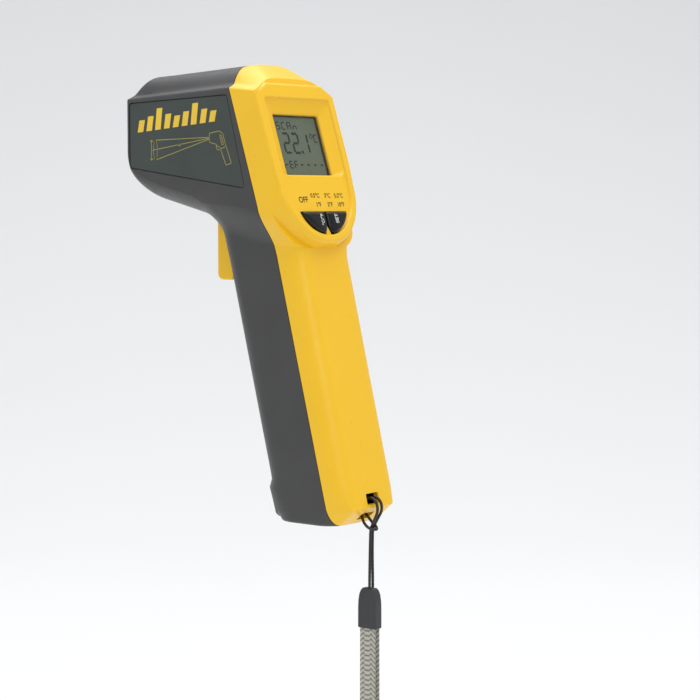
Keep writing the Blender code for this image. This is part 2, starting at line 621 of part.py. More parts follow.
def add_housings():
    """Left and right housings, rear cover, nose cap, labels, battery door and its pin."""
    outer, dark, cover = housing_shells()
    cut_display(cover)
    add_piece(cover, "rear_cover", YELLOW)

    shell = copy_of(dark, "door_shell")
    cut(dark, nose_block("nose_opening", GAP), door_region("door_opening", GAP))
    trigger_gap = prism("trigger_opening", [(29.9 * MM, -36 * MM), (29.9 * MM, -65.2 * MM), (45 * MM, -65.2 * MM),
                                            (45 * MM, -44 * MM), (36.4 * MM, -38 * MM), (36.4 * MM, -36 * MM)],
                        -6.7 * MM, 6.7 * MM)
    cut(dark, trigger_gap)
    for side in (-1, 1):
        recess = prism("label_recess", label_outline(0.4 * MM), min(side * 19.7 * MM, side * 22 * MM),
                       max(side * 19.7 * MM, side * 22 * MM))
        cut(dark, recess)
        film = prism("label_film", label_outline(), min(side * 20.0 * MM, side * 20.35 * MM),
                     max(side * 20.0 * MM, side * 20.35 * MM))
        add_piece(film, "label_left" if side < 0 else "label_right", LABEL)

    for side, name in ((-1, "left_housing"), (1, "right_housing")):
        low, high = sorted((side * GAP / 2, side * 30 * MM))
        half = keep(copy_of(dark, name), box("half_space", (-0.02, low, -0.2), (0.15, high, 0.05)))
        for k, (x, z) in enumerate(HOUSING_SCREWS):
            edge = half_width(x * MM, z * MM) - 1.0 * MM
            depth = edge - GAP / 2
            radius = 4.2 * MM if side > 0 else 2.8 * MM
            boss = cylinder("screw_boss", (x * MM, side * (GAP / 2 + depth / 2), z * MM), radius, depth, "Y", 16)
            join(half, boss)
            if side > 0:
                cut(half, cylinder("head_recess", (x * MM, 20 * MM, z * MM), 3.0 * MM, 18.0 * MM, "Y", 20),
                    cylinder("shank_hole", (x * MM, 8 * MM, z * MM), 1.6 * MM, 18 * MM, "Y", 16))
            else:
                cut(half, cylinder("pilot_hole", (x * MM, -4 * MM, z * MM), 1.45 * MM, 10.0 * MM, "Y", 16))
        pivot_post = cylinder("pivot_post", (TRIGGER_PIVOT.x, side * 12.2 * MM, TRIGGER_PIVOT.z), 2.6 * MM, 12 * MM,
                              "Y", 16)
        door_post = cylinder("door_post", (DOOR_PIVOT.x, side * 12.4 * MM, DOOR_PIVOT.z), 2.2 * MM, 2.6 * MM, "Y", 16)
        join(half, pivot_post, door_post)
        cut(half, cylinder("trigger_pin_hole", (TRIGGER_PIVOT.x, side * 5 * MM, TRIGGER_PIVOT.z), 1.5 * MM, 14 * MM,
                           "Y", 16),
            cylinder("door_pin_hole", (DOOR_PIVOT.x, side * 10 * MM, DOOR_PIVOT.z), 1.2 * MM, 6.0 * MM, "Y", 16))
        add_piece(half, name, DARK)

    door = keep(shell, door_region("door_block"))
    for side in (-1, 1):
        join(door, cylinder("door_lug", (DOOR_PIVOT.x, side * 7 * MM, DOOR_PIVOT.z), 2.0 * MM, 4.0 * MM, "Y", 16))
    cut(door, cylinder("lug_hole", DOOR_PIVOT, 1.2 * MM, 30 * MM, "Y", 16))
    for k in range(3):
        z = (-74 - 2.2 * k) * MM
        cut(door, cylinder("thumb_groove", (front_line(z) - 0.1 * MM, 0, z), 0.5 * MM, 9 * MM, "Y", 8))
    add_moving(door, "battery_door", DARK, DOOR_PIVOT)
    add_piece(cylinder("pin", DOOR_PIVOT, 0.9 * MM, 24 * MM, "Y", 16), "door_pin", STEEL)

    cap = keep(copy_of(outer, "cap"), nose_block("nose_block"))
    funnel = turned("funnel", [(0, -1 * MM), (8.4 * MM, -1 * MM), (8.4 * MM, 0.8 * MM), (6.6 * MM, 5.2 * MM),
                               (6.6 * MM, 7 * MM), (0, 7 * MM)], (0, 0, LENS_Z))
    sight = turned("sight", [(0, -1 * MM), (1.4 * MM, -1 * MM), (1.4 * MM, 3.0 * MM), (2.6 * MM, 3.0 * MM),
                             (2.6 * MM, 7 * MM), (0, 7 * MM)], (0, 0, POINTER_Z), steps=16)
    add_piece(cut(cap, funnel, sight), "nose_cap", DARK)


# ---------------------------------------------------------------- display and keys

def add_display():
    face = face_matrix()
    wide, high = WINDOW_HALF
    low_v, high_v = WINDOW_V - high, WINDOW_V + high
    window = box("window", (-wide + GAP, low_v + GAP, -3.5 * MM), (wide - GAP, high_v - GAP, -2.7 * MM), matrix=face)
    add_piece(window, "lcd_window", CLEAR)
    panel = box("panel", (-13.6 * MM, low_v - 2 * MM, -6.4 * MM), (13.6 * MM, high_v + 2 * MM, -3.9 * MM), matrix=face)
    add_piece(panel, "lcd_panel", GLASS)
    frame = box("frame", (-15.6 * MM, low_v - 4 * MM, -9.2 * MM), (15.6 * MM, high_v + 4 * MM, -3.9 * MM), matrix=face)
    cut(frame, box("frame_opening", (-13.9 * MM, low_v - 2.3 * MM, -12 * MM), (13.9 * MM, high_v + 2.3 * MM, 0),
                   matrix=face))
    add_piece(frame, "lcd_frame", PALE_PLASTIC)
    strip = box("strip", (-12 * MM, low_v - 1.8 * MM, -9.2 * MM), (12 * MM, low_v + 0.2 * MM, -6.7 * MM), matrix=face)
    add_piece(strip, "contact_strip", RUBBER)
    board = box("board", (-15 * MM, -13.6 * MM, -11.1 * MM), (15 * MM, 31 * MM, -9.5 * MM), matrix=face)
    for side in (-1, 1):
        cut(board, cylinder("board_hole", (side * BOARD_SCREW[0], BOARD_SCREW[1], -10 * MM), 1.2 * MM, 6 * MM,
                            segments=16, matrix=face))
        profile = [(0, 6.3 * MM), (0.85 * MM, 6.3 * MM), (0.85 * MM, 0), (2 * MM, 0), (2 * MM, -1.3 * MM),
                   (0, -1.3 * MM)]
        screw = turned("screw", profile, (side * BOARD_SCREW[0], BOARD_SCREW[1], -11.4 * MM), "Z", 16, face)
        add_piece(screw, f"board_screw_{1 if side < 0 else 2}", STEEL)
    add_piece(board, "main_board", CIRCUIT)
    buzzer = cylinder("buzzer", (0, 19 * MM, -13.6 * MM), 6 * MM, 4.4 * MM, segments=28, matrix=face)
    cut(buzzer, cylinder("sound_hole", (0, 19 * MM, -16 * MM), 0.9 * MM, 3 * MM, segments=12, matrix=face))
    add_piece(buzzer, "buzzer", BLACK)

    for side, word in ((-1, "left"), (1, "right")):
        x, v = side * 5.6 * MM, -11.6 * MM
        switch = box("switch", (x - 2.9 * MM, v - 2.9 * MM, -9.2 * MM), (x + 2.9 * MM, v + 2.9 * MM, -6.6 * MM),
                     matrix=face)
        join(switch, cylinder("stem", (x, v, -6.4 * MM), 1.5 * MM, 1.0 * MM, segments=16, matrix=face))
        add_piece(switch, f"tact_switch_{word}", BLACK)
        key = prism("key", key_outline(side), -4.3 * MM, 0.9 * MM)
        soften(key, lambda v: v.y > 0.8 * MM, 0.6 * MM, 2)
        key.data.transform(face @ UPRIGHT.inverted())
        flange = prism("flange", [(side * 0.5 * MM, -7.8 * MM), (side * 13.2 * MM, -7.8 * MM),
                                  (side * 10.4 * MM, -14.6 * MM), (side * 3.4 * MM, -17.3 * MM),
                                  (side * 0.5 * MM, -17.3 * MM)], -4.7 * MM, -3.9 * MM, face)
        foot = cylinder("foot", (x, v, -4.9 * MM), 1.6 * MM, 0.9 * MM, segments=16, matrix=face)
        join(key, flange, foot)
        add_piece(key, f"button_{word}", BLACK)


# ---------------------------------------------------------------- optics

def add_optics():
    barrel = [(6.7, 5.4), (8.1, 5.4), (8.1, 24.0), (4.9, 24.0), (4.9, 19.6), (5.6, 19.6), (5.6, 10.1), (6.7, 10.1),
              (6.7, 5.4)]
    add_piece(ring("barrel", barrel, LENS_Z), "lens_barrel", BLACK)
    lens = [(0, 7.9), (3.4, 8.1), (6.3, 8.7), (6.3, 9.8), (0, 9.8)]
    add_piece(ring("lens", lens, LENS_Z), "infrared_lens", LENS)
    retainer = [(5.2, 6.0), (6.3, 6.0), (6.3, 7.6), (5.2, 7.6), (5.2, 6.0)]
    add_piece(ring("retainer", retainer, LENS_Z), "lens_ring", ALUMINIUM)
    can = [(0, 20.2), (4.1, 20.2), (4.1, 25.0), (4.6, 25.0), (4.6, 25.8), (0, 25.8)]
    add_piece(ring("can", can, LENS_Z, 24), "thermopile_sensor", STEEL)
    board = box("sensor_board", (26.2 * MM, -9 * MM, -23 * MM), (27.8 * MM, 9 * MM, -4 * MM))
    add_piece(board, "sensor_board", CIRCUIT)
    module = [(0, 5.5), (3.0, 5.5), (3.0, 16.5), (2.2, 16.5), (2.2, 19.0), (0, 19.0)]
    add_piece(ring("module", module, POINTER_Z, 20), "pointer_module", BRASS)
    add_piece(ring("glass", [(0, 3.4), (2.25, 3.4), (2.25, 4.4), (0, 4.4)], POINTER_Z, 16), "pointer_window", CLEAR)


def ring(name, profile_mm, z, steps=24):
    """A piece turned about an axis along X, from (radius, x) points in millimetres."""
    return turned(name, [(r * MM, x * MM) for r, x in profile_mm], (0, 0, z), "X", steps)


# ---------------------------------------------------------------- trigger

def add_trigger():
    plate = prism("plate", rounded([(30.5 * MM, -38.6 * MM), (30.5 * MM, -63.8 * MM), (37.6 * MM, -63.8 * MM),
                                    (38.5 * MM, -60.5 * MM), (33.0 * MM, -43 * MM), (33.0 * MM, -38.6 * MM)],
                                   [0.6 * MM, 2.2 * MM, 1.2 * MM, 1.0 * MM, 1.0 * MM, 0.6 * MM]), -6.2 * MM, 6.2 * MM)
    soften(plate, lambda v: abs(v.y) > 6 * MM and v.x < 30.7 * MM, 1.6 * MM, 3)
    arm = prism("arm", rounded([(32.4 * MM, -38.4 * MM), (34.2 * MM, -33.6 * MM), (39.8 * MM, -33.6 * MM),
                                (41.2 * MM, -38.5 * MM), (46.6 * MM, -48 * MM), (46.6 * MM, -52 * MM),
                                (41 * MM, -54.5 * MM), (34.5 * MM, -54.5 * MM)], 1.0 * MM, 2), -2.7 * MM, 2.7 * MM)
    join(plate, arm)
    cut(plate, cylinder("pivot_hole", TRIGGER_PIVOT, 1.5 * MM, 10 * MM, "Y", 16))
    add_moving(plate, "trigger", YELLOW, TRIGGER_PIVOT)
    add_piece(cylinder("pin", TRIGGER_PIVOT, 1.2 * MM, 22 * MM, "Y", 16), "trigger_pin", STEEL)
    turns, rise = 2.5, 0.85 * MM
    radius, start = 2.05 * MM, 3.4 * MM  # of the coil, and where it begins beside the arm
    coil = [(TRIGGER_PIVOT.x + radius * math.cos(a), start + rise * a / (2 * math.pi),
             TRIGGER_PIVOT.z + radius * math.sin(a)) for a in np.linspace(0, 2 * math.pi * turns, 26)]
    leg = [(TRIGGER_PIVOT.x + radius, coil[0][1], TRIGGER_PIVOT.z - 7 * MM)]
    tail = [(TRIGGER_PIVOT.x - radius, coil[-1][1], TRIGGER_PIVOT.z + 7 * MM)]
    add_piece(tube("spring", leg + coil + tail, 0.28 * MM, 1), "trigger_spring", STEEL)
    switch = box("switch", (49.6 * MM, -3.2 * MM, -54.5 * MM), (58 * MM, 3.2 * MM, -46 * MM), 0.4 * MM)
    cut(switch, cylinder("plunger_bore", (50.4 * MM, 0, -50 * MM), 1.3 * MM, 4.6 * MM, "X", 16))
    add_piece(switch, "trigger_switch", BLACK)
    plunger = cylinder("plunger", (48.8 * MM, 0, -50 * MM), 1.0 * MM, 3.8 * MM, "X", 16)
    add_piece(plunger, "switch_plunger", PALE_PLASTIC)


# ---------------------------------------------------------------- battery and fasteners

def add_battery():
    lean = math.atan(GRIP_LEAN)
    height = -100 * MM
    middle = Vector(((front_line(height) + back_line(height)) / 2, 0, height))
    place = Matrix.Translation(middle) @ Matrix.Rotation(-lean, 4, "Y")
    battery = box("battery", (-13 * MM, -8.6 * MM, -23.2 * MM), (13 * MM, 8.6 * MM, 23.2 * MM), 1.0 * MM, place)
    for x, radius in ((-6.35, 2.7), (6.35, 3.4)):
        join(battery, cylinder("terminal", (x * MM, 0, 24.0 * MM), radius * MM, 2.2 * MM, segments=16, matrix=place))
    add_piece(battery, "battery", BATTERY)
    snap = box("snap", (-12.6 * MM, -8.2 * MM, 25.5 * MM), (12.6 * MM, 8.2 * MM, 29.5 * MM), 0.8 * MM, place)
    add_piece(snap, "battery_snap", BLACK)
    for side, word, material in ((-1, "red", RED), (1, "black", BLACK)):
        start = place @ Vector((2 * MM, side * 3 * MM, 29.9 * MM))
        end = face_matrix() @ Vector((side * 3 * MM, -12 * MM, -11.6 * MM))
        route = [start, start + Vector((0.2, 0, 3.0)) * MM, Vector((62.5 * MM, side * 3.4 * MM, -62 * MM)),
                 Vector((61.6 * MM, side * 3.2 * MM, -55 * MM)), end + Vector((-2.2, 0, -2.4)) * MM, end]
        add_piece(tube("lead", smooth_route(route, 16), 0.6 * MM), f"battery_lead_{word}", material)


def add_housing_screws():
    for k, (x, z) in enumerate(HOUSING_SCREWS, start=1):
        profile = [(0, 1.6), (1.4, 2.6), (2.5, 2.2), (2.6, 0), (1.2, 0), (1.2, -15.5), (0, -16.5)]
        screw = turned("screw", [(r * MM, h * MM) for r, h in profile[::-1]], (x * MM, 11.3 * MM, z * MM), "Y", 16)
        add_piece(screw, f"housing_screw_{k}", STEEL)


# ---------------------------------------------------------------- wrist strap

def lanyard_route():
    """The cord's hitch around the bar between the two eyes: up one strand, down the other."""
    half = [(94.6, -0.9, -167.3), (94.6, -0.85, -163), (94.6, -0.7, -157), (94.7, -0.62, -151), (95.0, -0.6, -147),
            (96.6, -0.8, -143.8), (98.1, -1.1, -140.8), (97.9, -1.2, -138.2), (96.4, -1.2, -136.6),
            (94.2, -1.2, -136.5), (91.9, -1.2, -137.3), (90.4, -1.2, -139.2), (90.6, -1.3, -141.4),
            (92.0, -1.6, -143.4), (93.4, -2.1, -145.2), (95.3, -1.9, -146.6)]
    over = [(96.7, 0.0, -147.1)]
    back = [(x, -y, z) for x, y, z in half[::-1]]
    return [Vector(p) * MM for p in half + over + back]


def strap_route():
    """The strap's loop in the plane across the body: down one leg and up the other."""
    leg = [(0.9, -180.9), (0.9, -188), (0.95, -198), (1.1, -208), (2.4, -219), (7.0, -236), (14.5, -260),
           (20.5, -285), (20.0, -307), (12.0, -323.5), (0.0, -329)]
    return leg + [(-y, z) for y, z in leg[-2::-1]]


def add_strap():
    add_piece(tube("cord", smooth_route(lanyard_route(), 74), 0.5 * MM), "lanyard_cord", BLACK)
    sleeve = [(-2.3, -167.6), (2.3, -167.6), (3.4, -170.0), (3.75, -173.5), (3.75, -180.6), (-3.75, -180.6),
              (-3.75, -173.5), (-3.4, -170.0)]
    sleeve = prism("sleeve", [((94.0 + x) * MM, z * MM) for x, z in sleeve], -1.9 * MM, 1.9 * MM)
    soften(sleeve, lambda v: True, 0.5 * MM, 2)
    add_piece(sleeve, "strap_connector", RUBBER)
    centre = np.array(smooth_route([(0.0, y, z) for y, z in strap_route()], 60))[:, 1:] * MM
    tangent = np.gradient(centre, axis=0)
    tangent /= np.linalg.norm(tangent, axis=1)[:, None]
    side = np.stack([tangent[:, 1], -tangent[:, 0]], 1) * STRAP_THICKNESS / 2
    outline = [tuple(p) for p in centre + side] + [tuple(p) for p in (centre - side)[::-1]]
    strap = prism("strap", outline, 94.0 * MM - STRAP_WIDTH / 2, 94.0 * MM + STRAP_WIDTH / 2, ACROSS_X)
    add_piece(strap, "wrist_strap", WEBBING)


DARK = make_material("dark_housing_plastic", (0.060, 0.062, 0.066), 0.42)
YELLOW = make_material("yellow_plastic", (0.93, 0.56, 0.03), 0.34)
LABEL = make_material("label_film", (0.055, 0.066, 0.060), 0.35)
BLACK = make_material("black_plastic", (0.015, 0.015, 0.016), 0.25)
RUBBER = make_material("soft_rubber", (0.035, 0.035, 0.036), 0.6)
CLEAR = make_material("clear_window", (0.55, 0.58, 0.55), 0.08)
GLASS = make_material("display_glass", (0.18, 0.21, 0.16), 0.15)
PALE_PLASTIC = make_material("pale_plastic", (0.75, 0.74, 0.70), 0.45)
CIRCUIT = make_material("circuit_board", (0.02, 0.16, 0.06), 0.45)
STEEL = make_material("steel", (0.60, 0.60, 0.62), 0.28, 1.0)
BRASS = make_material("brass", (0.72, 0.53, 0.22), 0.3, 1.0)
ALUMINIUM = make_material("aluminium", (0.70, 0.71, 0.73), 0.3, 1.0)
LENS = make_material("infrared_lens_glass", (0.10, 0.09, 0.10), 0.12)
BATTERY = make_material("battery_jacket", (0.10, 0.11, 0.14), 0.35)
RED = make_material("red_insulation", (0.55, 0.03, 0.02), 0.45)
WEBBING = make_material("woven_webbing", (0.42, 0.40, 0.34), 0.8)

FRAME = start_scene()
add_housings()
add_display()
add_optics()
add_trigger()
add_battery()
add_housing_screws()
add_strap()
bpy.context.view_layer.update()
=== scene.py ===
"""Looks of the pistol-grip infrared thermometer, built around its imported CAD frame.

Metres, +Z up. The nose points along -X and the display faces +X. Pieces are modelled in the body frame, with x from
the nose face and z from the nose's upper side corner, and are then moved so that the middle of the grip is the
world's origin, as in the frame.
"""

import math

import bmesh
import bpy
import numpy as np
from mathutils import Matrix, Vector

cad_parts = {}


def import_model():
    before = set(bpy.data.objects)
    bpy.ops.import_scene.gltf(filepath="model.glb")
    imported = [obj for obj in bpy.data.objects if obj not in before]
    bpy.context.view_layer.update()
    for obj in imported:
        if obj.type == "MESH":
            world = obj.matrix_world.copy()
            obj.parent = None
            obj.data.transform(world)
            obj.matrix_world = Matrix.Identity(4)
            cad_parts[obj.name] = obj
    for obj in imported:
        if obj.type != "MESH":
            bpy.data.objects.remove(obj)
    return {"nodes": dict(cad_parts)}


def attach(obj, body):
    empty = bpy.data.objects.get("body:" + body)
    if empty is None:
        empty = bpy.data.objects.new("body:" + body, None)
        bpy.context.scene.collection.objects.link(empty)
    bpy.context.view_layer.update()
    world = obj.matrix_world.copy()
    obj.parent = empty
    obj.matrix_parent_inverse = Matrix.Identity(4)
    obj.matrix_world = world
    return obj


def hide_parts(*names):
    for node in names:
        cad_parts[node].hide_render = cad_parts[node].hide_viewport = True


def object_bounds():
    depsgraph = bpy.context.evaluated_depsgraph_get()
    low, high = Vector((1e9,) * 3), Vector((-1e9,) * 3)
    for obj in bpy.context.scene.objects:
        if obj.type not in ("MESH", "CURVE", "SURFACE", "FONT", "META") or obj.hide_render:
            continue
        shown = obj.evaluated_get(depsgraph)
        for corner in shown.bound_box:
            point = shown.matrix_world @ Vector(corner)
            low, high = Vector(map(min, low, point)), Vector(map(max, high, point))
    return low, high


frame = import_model()
CAD_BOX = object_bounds()

MM = 0.001
SIDES = ((-1, "left"), (1, "right"))
GRIP_CENTRE = Vector((68.0, 0.0, -98.0)) * MM  # the world's origin, in the body frame
TO_WORLD = Matrix.Translation(-GRIP_CENTRE)
GAP = 0.3 * MM
WALL = 2.0 * MM
FINE = 3  # mesh density of the housing's form

# The housing's driving dimensions, as in the CAD
HEAD_HALF_WIDTH = 20.5 * MM
HANDLE_HALF_WIDTH = 15.3 * MM
NOSE_HEIGHT = 19.5 * MM
CHIN_START = (13.0 * MM, -36.0 * MM)
UNDERSIDE_SLOPE = 0.25
GRIP_LEAN = 0.252
GRIP_FRONT = (35.9 * MM, -41.7 * MM)
BOTTOM_Z = -145.5 * MM
FACE_TILT = math.atan(0.32)
FACE_CENTRE = Vector((72.0, 0.0, -31.5)) * MM
FACE_HALF_WIDTH = 19.7 * MM
FACE_DRAFT = 0.34
RIM_ROUND = 1.3 * MM
RIM_TOP_V = 37.7 * MM  # top of the display face, up its own slope
HEAD_BACK = 67.0 * MM  # where the roof ends at the display face
GRIP_FRONT_RADIUS = 9.0 * MM
BACK_RADIUS = 6.5 * MM
STRAIGHT_V = 9 * MM  # where the face's sides become straight
PARTING_TOP = (48.8 * MM, 2.7 * MM)
PARTING_KNEE = (61.6 * MM, -38.0 * MM)
PARTING_SLOPES = (0.315, 0.252)
WINDOW_HALF = (12.0 * MM, 11.0 * MM)
WINDOW_V = 16.0 * MM
PANEL_SINK = 0.8 * MM  # how far the display panel lies under its rim
KEY_RADIUS = 13.2 * MM
KEY_CENTRE_V = -3.3 * MM
KEY_TOP_V = -8.6 * MM
TRIGGER_PIVOT = Vector((37.0, 0.0, -36.6)) * MM
DOOR_PIVOT = Vector((61.0, 0.0, -128.6)) * MM
LENS_Z = -13.0 * MM
POINTER_Z = -24.6 * MM
HOUSING_SCREWS = [(22.5, -32.5), (48.5, -36.5), (54.0, -66.5), (72.0, -137.0)]  # x, z in millimetres
LOWER_EYE = Vector((92.1, 0.0, -142.8)) * MM
STRAP_X = 94.0 * MM
STRAP_WIDTH = 6.8 * MM
STRAP_THICKNESS = 1.2 * MM
CORD_DIAMETER = 1.0 * MM
UPRIGHT = Matrix(((1, 0, 0, 0), (0, 0, 1, 0), (0, 1, 0, 0), (0, 0, 0, 1)))  # outline in X and Z, swept along Y
ACROSS_X = Matrix(((0, 0, 1, 0), (1, 0, 0, 0), (0, 1, 0, 0), (0, 0, 0, 1)))  # outline in Y and Z, swept along X


# ---------------------------------------------------------------- camera

VIEW_AZIMUTH = 38.5
VIEW_ELEVATION = 4.2
camera_data = bpy.data.cameras.new("camera")
camera_data.lens = 105.4
camera_data.sensor_width = 36.0
camera = bpy.data.objects.new("camera", camera_data)
camera.location = (0.4502, -0.5441, 0.0624)
camera.rotation_euler = (math.radians(90 - VIEW_ELEVATION), 0.0, math.radians(VIEW_AZIMUTH))
bpy.context.scene.collection.objects.link(camera)
bpy.context.scene.camera = camera


# ---------------------------------------------------------------- materials

def new_material(name, colour, roughness, metallic=0.0, **inputs):
    """A Principled material and the few nodes that every material here starts from."""
    material = bpy.data.materials.new(name)
    material.use_nodes = True
    shader = material.node_tree.nodes["Principled BSDF"]
    shader.inputs["Base Color"].default_value = (*colour, 1.0)
    shader.inputs["Roughness"].default_value = roughness
    shader.inputs["Metallic"].default_value = metallic
    for key, value in inputs.items():
        shader.inputs[key.replace("_", " ")].default_value = value
    return material, shader


def add_node(material, kind, settings=None, **inputs):
    node = material.node_tree.nodes.new(kind)
    for key, value in (settings or {}).items():
        setattr(node, key, value)
    for key, value in inputs.items():
        node.inputs[key.replace("_", " ")].default_value = value
    return node


def noise(material, scale, detail=2.0, rough=0.5):
    place = add_node(material, "ShaderNodeTexCoord")
    node = add_node(material, "ShaderNodeTexNoise", Scale=scale, Detail=detail, Roughness=rough)
    material.node_tree.links.new(place.outputs["Object"], node.inputs["Vector"])
    return node.outputs["Fac"]


def vary(material, source, low, high, start=0.3, end=0.7):
    """A value between low and high, following the source."""
    node = add_node(material, "ShaderNodeMapRange", From_Min=start, From_Max=end, To_Min=low, To_Max=high)
    material.node_tree.links.new(source, node.inputs["Value"])
    return node.outputs["Result"]


def blend_colours(material, factor, first, second):
    node = add_node(material, "ShaderNodeMix", {"data_type": "RGBA"})
    node.inputs[6].default_value = (*first, 1.0)
    node.inputs[7].default_value = (*second, 1.0)
    material.node_tree.links.new(factor, node.inputs[0])
    return node.outputs[2]


def bump(material, shader, height, distance, strength=1.0):
    node = add_node(material, "ShaderNodeBump", Strength=strength, Distance=distance)
    material.node_tree.links.new(height, node.inputs["Height"])
    material.node_tree.links.new(node.outputs["Normal"], shader.inputs["Normal"])


def moulded(name, colour, roughness, spread, grain_scale=2600.0, grain=0.012, metallic=0.0, **inputs):
    """Moulded plastic or plain metal: slow colour drift, uneven polish and a fine surface grain."""
    material, shader = new_material(name, colour, roughness, metallic, **inputs)
    links = material.node_tree.links
    factor = vary(material, noise(material, 55.0, 3.0), 0.0, 1.0)
    darker = [c * (1 - spread) for c in colour]
    lighter = [min(1.0, c * (1 + spread)) for c in colour]
    links.new(blend_colours(material, factor, darker, lighter), shader.inputs["Base Color"])
    polish = noise(material, 420.0, 4.0, 0.6)
    links.new(vary(material, polish, roughness - 0.05, roughness + 0.06), shader.inputs["Roughness"])
    bump(material, shader, noise(material, grain_scale, 3.0, 0.65), grain * MM)
    return material


YELLOW = moulded("yellow_plastic", (0.93, 0.545, 0.012), 0.32, 0.015, 1800.0, 0.0005)
DARK = moulded("dark_housing_plastic", (0.048, 0.047, 0.047), 0.42, 0.08, 2400.0, 0.008)
LABEL = moulded("label_film", (0.040, 0.052, 0.045), 0.34, 0.08, 900.0, 0.0008)
BLACK = moulded("gloss_black_plastic", (0.008, 0.008, 0.008), 0.16, 0.2, 900.0, 0.001,
                Specular_IOR_Level=0.28, Coat_Weight=0.05, Coat_Roughness=0.08)
SOFT_BLACK = moulded("soft_black_plastic", (0.020, 0.020, 0.021), 0.48, 0.15, 2000.0, 0.012)
RUBBER = moulded("soft_rubber", (0.034, 0.037, 0.037), 0.50, 0.12, 2200.0, 0.014)
CORD_BLACK = moulded("cord_black", (0.018, 0.015, 0.013), 0.42, 0.2, 2600.0, 0.03)
PALE = moulded("pale_plastic", (0.72, 0.71, 0.66), 0.45, 0.05)
CIRCUIT = moulded("circuit_board", (0.016, 0.13, 0.05), 0.38, 0.25, 900.0, 0.01)
STEEL = moulded("steel", (0.60, 0.60, 0.62), 0.28, 0.06, 1500.0, 0.006, 1.0)
BRASS = moulded("brass", (0.72, 0.53, 0.22), 0.30, 0.08, 1500.0, 0.006, 1.0)
ALUMINIUM = moulded("aluminium", (0.70, 0.71, 0.73), 0.32, 0.05, 1500.0, 0.006, 1.0)
LENS = moulded("infrared_lens_glass", (0.055, 0.045, 0.055), 0.10, 0.15, 300.0, 0.001, Coat_Weight=0.6,
               Coat_Roughness=0.04)
JACKET = moulded("battery_jacket", (0.05, 0.06, 0.09), 0.30, 0.1, 900.0, 0.004)
RED = moulded("red_insulation", (0.50, 0.025, 0.02), 0.42, 0.1)
MARK_INK = moulded("yellow_ink", (0.85, 0.56, 0.035), 0.38, 0.05, 1500.0, 0.004)
LINE_INK = moulded("olive_ink", (0.34, 0.30, 0.065), 0.40, 0.08, 1500.0, 0.004)
DARK_INK = moulded("dark_ink", (0.035, 0.018, 0.006), 0.45, 0.1, 1500.0, 0.004)
WHITE_INK = moulded("white_ink", (0.72, 0.72, 0.70), 0.40, 0.05, 1500.0, 0.004)
DISPLAY = moulded("display_glass", (0.170, 0.212, 0.142), 0.34, 0.03, 700.0, 0.001)
SEGMENT = moulded("display_segment", (0.016, 0.020, 0.014), 0.35, 0.05, 700.0, 0.001)


def clear_window_material():
    material, shader = new_material("clear_window", (0.08, 0.09, 0.08), 0.07, Alpha=0.12, IOR=1.49)
    polish = vary(material, noise(material, 300.0), 0.04, 0.10)
    material.node_tree.links.new(polish, shader.inputs["Roughness"])
    return material


def webbing_material():
    """Woven strap: pale threads over valleys darkened by painted shade, with fuzz; the weave's height is on the mesh.
    """
    material, shader = new_material("woven_webbing", (0.42, 0.40, 0.34), 0.85, Sheen_Weight=0.25,
                                    Sheen_Roughness=0.5)
    links = material.node_tree.links
    height = add_node(material, "ShaderNodeAttribute", {"attribute_name": "strand"})
    shade = vary(material, height.outputs["Fac"], 0.0, 1.0, 0.1, 0.85)
    # painted shade: the low valleys between the threads are coloured darker, following the weave's height
    links.new(blend_colours(material, shade, (0.135, 0.13, 0.105), (0.52, 0.50, 0.43)), shader.inputs["Base Color"])
    bump(material, shader, noise(material, 9000.0, 2.0, 0.7), 0.05 * MM, 0.7)
    return material


CLEAR = clear_window_material()
WEBBING = webbing_material()


# ---------------------------------------------------------------- mesh helpers

def mesh_object(name, bm):
    """A new object from a bmesh, with outward faces, still in the body frame."""
    bmesh.ops.recalc_face_normals(bm, faces=bm.faces)
    mesh = bpy.data.meshes.new(name)
    bm.to_mesh(mesh)
    bm.free()
    obj = bpy.data.objects.new(name, mesh)
    bpy.context.scene.collection.objects.link(obj)
    return obj


def drop(*objects):
    for obj in objects:
        mesh = obj.data
        bpy.data.objects.remove(obj)
        bpy.data.meshes.remove(mesh)


def settle(obj):
    """Replaces the object's mesh with the one its modifiers make."""
    bpy.context.view_layer.update()
    result = bpy.data.meshes.new_from_object(obj.evaluated_get(bpy.context.evaluated_depsgraph_get()))
    obj.modifiers.clear()
    old = obj.data
    obj.data = result
    bpy.data.meshes.remove(old)
    return obj


def combine(target, tools, operation):
    """One exact Boolean of the target with all the tools together; the tools are used up."""
    if len(tools) > 1:
        merged = bmesh.new()
        for tool in tools:
            merged.from_mesh(tool.data)
        joined = mesh_object("tools", merged)
        drop(*tools)
        tools = [joined]
    modifier = target.modifiers.new("shape", "BOOLEAN")
    modifier.operation = operation
    modifier.solver = "EXACT"
    modifier.object = tools[0]
    settle(target)
    drop(*tools)
    return target


def cut(target, *tools):
    return combine(target, list(tools), "DIFFERENCE")


def join(target, *tools):
    return combine(target, list(tools), "UNION")


def keep(target, tool):
    return combine(target, [tool], "INTERSECT")


def copy_of(obj):
    duplicate = bpy.data.objects.new(obj.name + "_copy", obj.data.copy())
    bpy.context.scene.collection.objects.link(duplicate)
    return duplicate


def add_piece(obj, name, body, material, replaces=(), angle=32.0, weighted=True):
    """Finishes a piece: into the world frame, smooth, with its material, riding on its body."""
    obj.name = name
    obj.data.transform(TO_WORLD)
    obj.data.shade_smooth()
    obj.data.set_sharp_from_angle(angle=math.radians(angle))
    if weighted:
        obj.modifiers.new("normals", "WEIGHTED_NORMAL").keep_sharp = True
    obj.data.materials.clear()
    obj.data.materials.append(material)
    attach(obj, body)
    if replaces:
        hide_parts(*replaces)
    return obj


